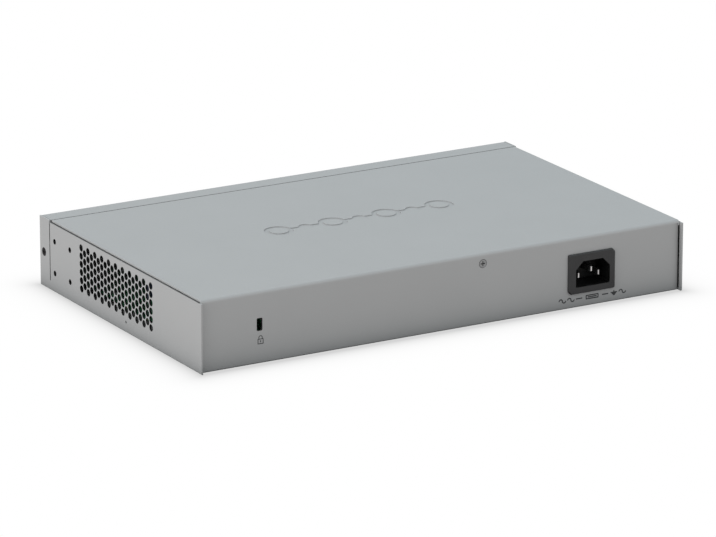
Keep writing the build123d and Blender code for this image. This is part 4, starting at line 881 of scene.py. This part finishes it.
@dataclass
class PowerSupply:
    """The supply board with its transformer, capacitors, heatsinks and connectors."""

    shop: Workshop
    fuse_cap: float = 5.0
    tab_thickness: float = 1.25
    leg_length: float = 4.0
    ring_outer: float = 8.2
    ring_middle: float = 5.4
    ring_thickness: float = 3.15
    wire: float = 0.34
    choke_turns: int = 15
    choke_start: float = 24.0
    choke_step: float = 9.4
    resistor_x: float = -94.0
    resistor_depths: tuple[float, ...] = (100.0, 104.5, 109.0)
    bobbin_pin: Colour = (0.7, 0.7, 3.2)
    bobbin_pin_pitch: float = 4.0
    bobbin_pin_reach: float = 12.85

    def build(self) -> None:
        """Dresses every part of the supply."""
        shop = self.shop
        shop.dress(SolderMask("supply_board", (0.16, 0.11, 0.03), (0.24, 0.17, 0.05)), "psu_board")
        shop.dress(FILM_SHEET, "psu_insulator")
        shop.dress(NATURAL_NYLON, "psu_ac_connector", "psu_dc_connector")
        lowest, highest = box_of("psu_fuse")
        cap = Vector((0, self.fuse_cap * MM, 0))
        ends = ((tuple(lowest - cap), tuple(Vector((highest.x, lowest.y, highest.z)) + cap)),
                (tuple(Vector((lowest.x, highest.y, lowest.z)) - cap), tuple(highest + cap)))
        shop.dress(PartMetal("fuse_tube", (0.85, 0.88, 0.86), ends, (0.72, 0.7, 0.64), 0.2, 0.85), "psu_fuse")
        shop.dress(FERRITE, "psu_choke", "psu_transformer_core")
        shop.dress(Moulded("polyester_tape", (0.72, 0.5, 0.05), 0.28, 2.5, 0.03, 0.3), "psu_transformer_coil")
        shop.dress(Moulded("film_capacitor_case", (0.6, 0.42, 0.06), 0.4), "psu_film_capacitor")
        shop.dress(BARE_ALUMINIUM, "psu_heatsinks")
        lowest, highest = box_of("psu_transistors")
        tab = (tuple(lowest), (highest.x, lowest.y + self.tab_thickness * MM, highest.z))
        legs = (tuple(lowest), (highest.x, highest.y, lowest.z + self.leg_length * MM))
        shop.dress(PartMetal("transistor_body", CHIP_RESIN.colour, (tab, legs)), "psu_transistors")
        for name, sleeve, pitch in (("psu_bulk_capacitors", (0.02, 0.02, 0.05), 18.0),
                                    ("psu_output_capacitors", (0.02, 0.05, 0.04), 11.0)):
            crown = high(name, Axis.Z) - 0.7 * MM
            shop.dress(Sleeved(name + "_sleeve", crown, sleeve, pitch * MM), name)
        self.wind_choke()
        self.pin_transformer()
        self.lay_resistors()

    def wind_choke(self) -> None:
        """Winds two copper coils round the choke's ring."""
        lowest, highest = box_of("psu_choke")
        centre = Vector(((lowest.x + highest.x) / 2, (lowest.y + highest.y) / 2,
                         highest.z - self.ring_outer * MM))
        mesh = bmesh.new()
        for half in (0, 180):
            for turn in range(self.choke_turns):
                angle = math.radians(half + self.choke_start + turn * self.choke_step)
                out = Vector((math.cos(angle), 0, math.sin(angle)))
                hub = centre + out * (self.ring_middle * MM)
                tangent = Vector((-out.z, 0, out.x))
                start = hub + out * (self.ring_thickness * MM)
                wire = bmesh.ops.create_circle(mesh, segments=8, radius=self.wire * MM,
                                               matrix=self.across(start, out, tangent))["verts"]
                loops = list({edge for vert in wire for edge in vert.link_edges})
                bmesh.ops.spin(mesh, geom=[*wire, *loops], cent=hub, axis=tangent, dvec=(0, 0, 0),
                               angle=math.tau, steps=20, use_merge=True, use_duplicate=False)
        bmesh.ops.recalc_face_normals(mesh, faces=mesh.faces[:])
        self.shop.place(mesh, "choke_windings", COPPER, "ferrite", smooth=True)

    @staticmethod
    def across(place: Vector, out: Vector, along: Vector) -> Matrix:
        """Gives the matrix of a circle at a place that faces neither of two directions."""
        facing = out.cross(along).normalized()
        return Matrix.Translation(place) @ facing.to_track_quat("Z", "Y").to_matrix().to_4x4()

    def pin_transformer(self) -> None:
        """Stands two rows of tinned pins beside the transformer's bobbin."""
        centre = middle("psu_transformer_core")
        foot = high("psu_board", Axis.Z)
        mesh = bmesh.new()
        for side in (-1, 1):
            for pin in range(5):
                across = (pin - 2) * self.bobbin_pin_pitch * MM
                out = side * self.bobbin_pin_reach * MM
                place = Vector((centre.x + across, centre.y + out, foot + self.bobbin_pin[2] / 2 * MM))
                add_block(mesh, place, self.bobbin_pin, 0.1)
        self.shop.place(mesh, "transformer_pins", TINNED, "plated_steel")

    def lay_resistors(self) -> None:
        """Lays banded axial resistors with bent tinned leads on the free end of the board."""
        foot = high("psu_board", Axis.Z)
        bodies, leads = bmesh.new(), bmesh.new()
        outline = ((-3.1, 0.0), (-3.1, 0.7), (-2.7, 1.15), (-1.8, 1.2), (-1.4, 0.95), (1.4, 0.95), (1.8, 1.2),
                   (2.7, 1.15), (3.1, 0.7), (3.1, 0.0))
        for depth in self.resistor_depths:
            at = Vector((self.resistor_x * MM, spot(0, depth, 0).y, foot + 1.5 * MM))
            turn_profile(bodies, outline, at, Axis.X, 20)
            for side in (-1, 1):
                add_block(leads, at + Vector((side * 4.3 * MM, 0, 0)), (2.6, 0.5, 0.5))
                add_block(leads, at + Vector((side * 5.5 * MM, 0, -0.85 * MM)), (0.5, 0.5, 1.5))
        x = self.resistor_x * MM
        bands = ((0.0, (0.3, 0.52, 0.62)), (0.2, (0.35, 0.03, 0.02)), (0.3, (0.3, 0.52, 0.62)),
                 (0.42, (0.03, 0.03, 0.03)), (0.52, (0.3, 0.52, 0.62)), (0.62, (0.42, 0.15, 0.02)),
                 (0.72, (0.3, 0.52, 0.62)))
        finish = Sorted("resistor_bands", Axis.X, x - 3.1 * MM, x + 3.1 * MM, bands, 0.3, 0.6)
        self.shop.place(bodies, "axial_resistors", finish, "winding_tape", smooth=True)
        self.shop.place(leads, "resistor_leads", TINNED, "plated_steel")


@dataclass
class MainBoard:
    """The main board with its chips, heatsink, capacitors and harness."""

    shop: Workshop
    network_xs: tuple[float, ...] = (-56.0, -28.0, 10.0, 38.0)
    transformer_xs: tuple[float, ...] = (-63.0, -49.0, -35.0, -21.0, 3.0, 17.0, 31.0, 45.0)
    regulator_depths: tuple[float, ...] = (78.0, 94.0, 110.0, 126.0)
    lead_bends: tuple[tuple[float, ...], ...] = ((0.35, 0.55, 0.7, 0.14), (0.7, 0.35, 0.14, 0.5),
                                                 (1.05, 0.08, 0.8, 0.14))
    lead_width: float = 0.36

    def build(self) -> None:
        """Dresses the board and what it carries."""
        shop = self.shop
        shop.dress(SolderMask("main_board_mask"), "main_board")
        shop.dress(ZINC, "board_standoffs", "board_screws")
        shop.dress(CHIP_RESIN, "switch_chip", "phy_chips", "port_transformers", "memory_chips",
                   "regulator_chips")
        shop.dress(BARE_ALUMINIUM, "chip_heatsink")
        shop.dress(FERRITE, "board_inductors")
        shop.dress(NATURAL_NYLON, "power_header", "fan_header")
        crown = high("board_capacitors", Axis.Z) - 0.7 * MM
        sleeve = Sleeved("board_capacitor_sleeve", crown, (0.02, 0.03, 0.06), 16.0 * MM)
        shop.dress(sleeve, "board_capacitors")
        cores = ((0.0, (0.5, 0.02, 0.015)), (0.5, (0.02, 0.02, 0.02)))
        first, last = low("dc_harness", Axis.Y), high("dc_harness", Axis.Y)
        shop.dress(Sorted("supply_harness", Axis.Y, first, last, cores), "dc_harness")
        self.solder_leads()
        self.scatter_small_parts()

    def solder_leads(self) -> None:
        """Adds the gull-wing leads of the network, memory and transformer packages."""
        mesh = bmesh.new()
        for x in self.network_xs:
            for side in range(4):
                self.lead_row(mesh, x, 53.0, side, 7.0, 12, 1.0)
        for depth in (92.0, 106.0):
            for side in (0, 2):
                self.lead_row(mesh, 6.0, depth, side, 4.5, 12, 1.0)
        for x in self.transformer_xs:
            for side in (0, 2):
                self.lead_row(mesh, x, 35.5, side, 6.5, 8, 1.27)
        self.shop.place(mesh, "chip_leads", TINNED, "plated_steel")

    def lead_row(self, mesh: bmesh.types.BMesh, x: float, depth: float, side: int, reach: float, count: int,
                 pitch: float) -> None:
        """Adds one row of leads along a side of a package.

        Args:
            mesh: what to add to.
            x: the package's centre across.
            depth: the package's centre behind the front face.
            side: quarter turns from the rear side.
            reach: from the centre to the package's side.
            count: how many leads.
            pitch: their spacing.
        """
        foot = high("main_board", Axis.Z)
        turn = Matrix.Rotation(side * math.pi / 2, 3, "Z")
        for lead in range(count):
            offset = (lead - (count - 1) / 2) * pitch
            for out, rise, length, height in self.lead_bends:
                local = turn @ Vector((offset, reach + out, 0))
                size = turn @ Vector((self.lead_width, length, 0))
                place = spot(x + local.x, depth + local.y, 0)
                place.z = foot + rise * MM
                add_block(mesh, place, (abs(size.x), abs(size.y), height))

    def small_part_places(self) -> list[tuple[float, float, int]]:
        """Lists small parts as (x, depth behind the front, quarter turns)."""
        rows = [(x + step * 2.6, 44.2, 1) for x in self.network_xs for step in range(-2, 3)]
        rows += [(x + 10.2, 47.0 + step * 2.4, 0) for x in self.network_xs for step in range(5)]
        rows += [(x, 20.5, 1) for x in (-146.0, -139.0, -132.0, -125.0, -118.0)]
        rows += [(96.0 + step * 2.4, depth + 5.5, 1) for depth in self.regulator_depths for step in range(6)]
        rows += [(36.0 + step * 3.2, 135.0 + row * 3.0, row % 2) for row in range(4) for step in range(15)]
        rows += [(x, 84.0 + step * 2.6, 0) for x in (-5.0, 17.5) for step in range(12)]
        rows += [(-34.0 + step * 3.0, 84.0 + row * 3.2, 1) for row in range(4) for step in range(5)]
        rows += [(84.0 + step * 2.5, 55.0, 1) for step in range(10)]
        return rows

    def scatter_small_parts(self) -> None:
        """Solders rows of small ceramic parts, dark bodies with tinned ends."""
        foot = high("main_board", Axis.Z)
        bodies, ends = bmesh.new(), bmesh.new()
        for index, (x, depth, turn) in enumerate(self.small_part_places()):
            tall = 0.45 + 0.25 * (index % 3 == 0)
            place = spot(x, depth, 0)
            place.z = foot + tall * MM / 2
            long = Vector((1, 0, 0)) if turn else Vector((0, 1, 0))
            wide = Vector((1, 1, 0)) - long
            add_block(bodies, place, tuple(long * 1.0 + wide * 0.78 + Vector((0, 0, tall - 0.04))))
            for side in (-1, 1):
                end = long * 0.34 + wide * 0.84 + Vector((0, 0, tall))
                add_block(ends, place + long * (side * 0.65 * MM), tuple(end))
        self.shop.place(bodies, "small_part_bodies", CERAMIC, "chip_resin")
        self.shop.place(ends, "small_part_ends", TINNED, "plated_steel")


@dataclass
class FrontPorts:
    """The stacked network ports and uplink cages."""

    shop: Workshop
    port_pitch: float = 13.97
    number_gap: float = 2.6
    number_height: float = 2.8
    pair_spread: float = 2.6
    cage_half: float = 7.15

    def build(self) -> None:
        """Dresses the shields, housings, contacts, lamps and cages."""
        shop = self.shop
        for side in ("left", "right"):
            shop.dress(NICKEL, f"port_shield_{side}")
            shop.dress(PORT_BLACK, f"port_housing_{side}")
            shop.dress(GILT, f"port_contacts_{side}")
            shop.dress(ClearMoulding("port_lamp", (0.75, 0.86, 0.62), 0.35, 0.2), f"port_lamps_{side}")
        shop.dress(NICKEL, "uplink_cages")
        shop.dress(PORT_BLACK, "uplink_connectors")
        self.number_ports()

    def number_ports(self) -> None:
        """Prints a number pair over each column of ports and one over each uplink."""
        face = low("front_panel", Axis.Y)
        ink = bmesh.new()
        number = 1
        for side in ("left", "right"):
            centre = middle(f"port_housing_{side}").x
            level = high(f"port_shield_{side}", Axis.Z) + self.number_gap * MM
            for column in range(4):
                x = centre + (column - 1.5) * self.port_pitch * MM
                for offset in (-1, 1):
                    place = Vector((x + offset * self.pair_spread * MM, face, level))
                    add_number(ink, str(number), place, self.number_height)
                    number += 1
        cages = box_of("uplink_cages")
        for end in (0, 1):
            x = cages[end].x + (1 - 2 * end) * self.cage_half * MM
            add_number(ink, str(number + end), Vector((x, face, cages[1].z + self.number_gap * MM)),
                       self.number_height)
        self.shop.place(ink, "port_numbers", MARKING_INK, "case_paint")


@dataclass
class StatusGroup:
    """The status lights and the two buttons."""

    shop: Workshop

    def build(self) -> None:
        """Dresses the lights, buttons and their switches."""
        shop = self.shop
        shop.dress(ClearMoulding("light_pipe", (0.82, 0.88, 0.84)), "status_light_pipes")
        shop.dress(ClearMoulding("led_body", (0.8, 0.78, 0.5), 0.2, 0.3), "status_leds")
        shop.dress(BLACK_NYLON, "light_pipe_bar", "mode_switch", "reset_switch", "mode_button",
                   "reset_button")


@dataclass
class Cooling:
    """The fan behind the side vents."""

    shop: Workshop
    hub_radius: float = 9.0
    tip_radius: float = 17.9
    blade_count: int = 7
    chord: float = 13.0
    hub_pitch: float = 52.0
    tip_pitch: float = 30.0
    camber: float = 1.5
    blade_thickness: float = 0.9

    def mould_rotor(self) -> None:
        """Moulds the rotor: a cupped hub with swept, twisted blades round it."""
        lowest, highest = box_of("fan_rotor")
        centre = (lowest + highest) / 2
        length = (highest.x - lowest.x) / MM
        hub = self.hub_radius
        mesh = bmesh.new()
        for blade in range(self.blade_count):
            self.add_blade(mesh, centre, blade * math.tau / self.blade_count)
        outline = ((0.25, 0.0), (0.25, 4.6), (0.0, 4.9), (0.0, hub - 1.2), (0.35, hub - 0.35), (1.2, hub),
                   (length, hub), (length, hub - 1.2), (1.5, hub - 1.2), (1.2, hub - 1.6), (1.2, 1.0),
                   (length - 2.0, 1.0), (length - 1.7, 0.7), (length - 1.7, 0.0))
        turn_profile(mesh, outline, Vector((lowest.x, centre.y, centre.z)), Axis.X, 56)
        rotor = self.shop.place(mesh, "moulded_rotor", FAN_BLACK, "black_plastic", "fan_rotor", smooth=True)
        rotor.data.set_sharp_from_angle(angle=math.radians(35))
        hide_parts("fan_rotor")

    def add_blade(self, mesh: bmesh.types.BMesh, centre: Vector, turn: float) -> None:
        """Adds one blade, bent from a flat grid and thickened.

        Args:
            mesh: what to add to.
            centre: the rotor's middle.
            turn: the blade's angle round the axis.
        """
        grid = bmesh.ops.create_grid(mesh, x_segments=6, y_segments=8, size=0.5)["verts"]
        faces = list({face for vert in grid for face in vert.link_faces})
        for vert in grid:
            outward, along = vert.co.x + 0.5, vert.co.y
            radius = self.hub_radius - 0.5 + outward * (self.tip_radius - self.hub_radius + 0.5)
            pitch = math.radians(self.hub_pitch + outward * (self.tip_pitch - self.hub_pitch))
            chord = self.chord * (0.86 + 0.14 * outward)
            lift = self.camber * (1 - 4 * along * along)
            sweep = along * chord * math.cos(pitch) + lift * math.sin(pitch) + 1.6 * outward * outward
            rise = along * chord * math.sin(pitch) - lift * math.cos(pitch)
            angle = turn + sweep / radius
            vert.co = centre + Vector((rise, radius * math.cos(angle), radius * math.sin(angle))) * MM
        bmesh.ops.recalc_face_normals(mesh, faces=faces)
        bmesh.ops.solidify(mesh, geom=faces, thickness=self.blade_thickness * MM)

    def build(self) -> None:
        """Dresses the fan, its screws and cable."""
        shop = self.shop
        shop.dress(FAN_BLACK, "fan_frame", "fan_rotor")
        self.mould_rotor()
        shop.dress(ZINC, "fan_screws")
        shop.dress(Moulded("fan_cable_sheath", (0.02, 0.02, 0.022), 0.45), "fan_cable")


# ------------------------------------------------------------------ studio
@dataclass(frozen=True)
class SoftBox:
    """One square soft light that looks at the object."""

    name: str
    place: Colour
    size: float
    power: float
    colour: Colour = (1.0, 1.0, 1.0)

    def hang(self) -> None:
        """Creates the light and aims it at the middle of the case."""
        data = bpy.data.lights.new(self.name, "AREA")
        data.shape = "SQUARE"
        data.size = self.size
        data.energy = self.power
        data.color = self.colour
        light = bpy.data.objects.new(self.name, data)
        light.location = self.place
        light.rotation_mode = "QUATERNION"
        light.rotation_quaternion = Vector(self.place).to_track_quat("Z", "Y")
        bpy.context.scene.collection.objects.link(light)


@dataclass
class Studio:
    """The pale floor, the soft lights, the world and the camera."""

    floor_size: float = 40.0
    floor_drop: float = 0.02
    ambient: float = 0.8
    sky_tint: Colour = (0.955, 1.0, 1.015)
    bounce_tint: Colour = (1.05, 1.0, 0.98)
    bounce: float = 0.54
    bounce_loss: float = 2.0
    bounce_reach: float = 9.0
    shadow_depth: float = 0.34
    shadow_reach: float = 7.0
    lens: float = 272.4
    sensor: float = 36.0
    azimuth: float = 150.014
    elevation: float = 16.995
    camera_place: Colour = (1.56814, 2.71418, 0.97013)
    lights: tuple[SoftBox, ...] = (
        SoftBox("top_light", (-0.9, -0.4, 1.3), 1.0, 1.6, (0.1, 0.7, 1.0)),
        SoftBox("side_light", (2.4, 0.2, 0.9), 1.8, 24.5, (1.0, 1.0, 1.0)),
        SoftBox("front_light", (-0.6, -2.5, 1.0), 1.8, 3.0),
        SoftBox("far_light", (-2.5, 0.2, 0.9), 1.8, 6.0),
    )

    def build(self) -> None:
        """Lays the floor, hangs the lights and sets up the camera."""
        self.lay_floor()
        self.light_world()
        for light in self.lights:
            light.hang()
        self.set_camera()
        bpy.context.scene.view_settings.view_transform = "Standard"
        bpy.context.scene.view_settings.look = "None"

    def lay_floor(self) -> None:
        """Lays a pale emitting floor with a painted shadow round the case and a painted bounce that fades in
        away from the case.
        """
        mesh = bmesh.new()
        level = Matrix.Translation((0, 0, -self.floor_drop * MM))
        bmesh.ops.create_grid(mesh, x_segments=2, y_segments=2, size=self.floor_size / 2, matrix=level)
        data = bpy.data.meshes.new("studio_floor")
        mesh.to_mesh(data)
        mesh.free()
        data.materials.append(self.floor_material())
        floor = bpy.data.objects.new("studio_floor", data)
        bpy.context.scene.collection.objects.link(floor)
        floor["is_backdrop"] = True

    def floor_material(self) -> bpy.types.Material:
        """Builds the floor: an emitter, white with a painted soft contact shadow round the case's outline,
        and a painted bounce glow for other rays that is dark at the case.

        Returns:
            The floor's material.
        """
        bench = NodeBench("pale_floor")
        _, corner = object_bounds()
        folded = bench.add("VectorMath", {0: bench.place}, operation="ABSOLUTE").outputs[0]
        edge = (corner.x, corner.y, 0)
        past = bench.add("VectorMath", {0: folded, 1: edge}, operation="SUBTRACT").outputs[0]
        outside = bench.add("VectorMath", {0: past, 1: (0, 0, 0)}, operation="MAXIMUM").outputs[0]
        away = bench.add("VectorMath", {0: outside}, operation="LENGTH").outputs["Value"]

        def fade(reach_mm: float) -> bpy.types.NodeSocket:
            """Falls from one at the case to nothing over a reach."""
            return bench.math("EXPONENT", bench.math("MULTIPLY", away, -1 / (reach_mm * MM)))

        # Painted shadow and bounce: camera rays see white less a contact shadow, and other rays get a glow
        # that fades out near the case.
        seen = bench.math("SUBTRACT", 1.0, bench.math("MULTIPLY", fade(self.shadow_reach), self.shadow_depth))
        lost = bench.math("MULTIPLY", fade(self.bounce_reach), self.bounce_loss)
        kept = bench.math("MAXIMUM", bench.math("SUBTRACT", 1.0, lost), 0.0)
        lit = bench.math("MULTIPLY", kept, self.bounce)
        is_camera = bench.add("LightPath").outputs["Is Camera Ray"]
        glow = bench.add("Mix", {0: is_camera, 2: lit, 3: seen}, data_type="FLOAT").outputs[0]
        tint = bench.mix(is_camera, self.bounce_tint, (1.0, 1.0, 1.0))
        emission = bench.add("Emission", {"Color": tint, "Strength": glow})
        bench.tree.links.new(emission.outputs[0], bench.output.inputs["Surface"])
        return bench.material

    def light_world(self) -> None:
        """Makes the surroundings white to the camera and a dim grey to the object."""
        world = bpy.data.worlds.new("studio_world")
        bpy.context.scene.world = world
        world.use_nodes = True
        tree = world.node_tree
        tree.nodes.clear()
        backs = [tree.nodes.new("ShaderNodeBackground") for _ in range(2)]
        backs[0].inputs["Strength"].default_value = self.ambient
        mixer = tree.nodes.new("ShaderNodeMixShader")
        path = tree.nodes.new("ShaderNodeLightPath")
        tree.links.new(path.outputs["Is Camera Ray"], mixer.inputs[0])
        for index, back in enumerate(backs):
            back.inputs["Color"].default_value = (*((1.0, 1.0, 1.0) if index else self.sky_tint), 1.0)
            tree.links.new(back.outputs[0], mixer.inputs[1 + index])
        output = tree.nodes.new("ShaderNodeOutputWorld")
        tree.links.new(mixer.outputs[0], output.inputs["Surface"])

    def set_camera(self) -> None:
        """Stands the camera off the rear corner, looking slightly down."""
        data = bpy.data.cameras.new("camera")
        data.lens = self.lens
        data.sensor_width = self.sensor
        camera = bpy.data.objects.new("camera", data)
        turn, lift = math.radians(self.azimuth), math.radians(self.elevation)
        back = Vector((math.sin(turn) * math.cos(lift), -math.cos(turn) * math.cos(lift), math.sin(lift)))
        camera.location = self.camera_place
        camera.rotation_mode = "QUATERNION"
        camera.rotation_quaternion = (-back).to_track_quat("-Z", "Y")
        bpy.context.scene.collection.objects.link(camera)
        bpy.context.scene.camera = camera


def main() -> None:
    """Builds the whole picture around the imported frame."""
    logging.basicConfig(level=logging.INFO, format="%(name)s: %(message)s")
    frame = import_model()
    shop = Workshop(frame)
    for group in (Enclosure, MainsInlet, PowerSupply, MainBoard, FrontPorts, StatusGroup, Cooling):
        LOG.info("building %s", group.__name__)
        group(shop).build()
    Studio().build()


if __name__ == "__main__":
    main()
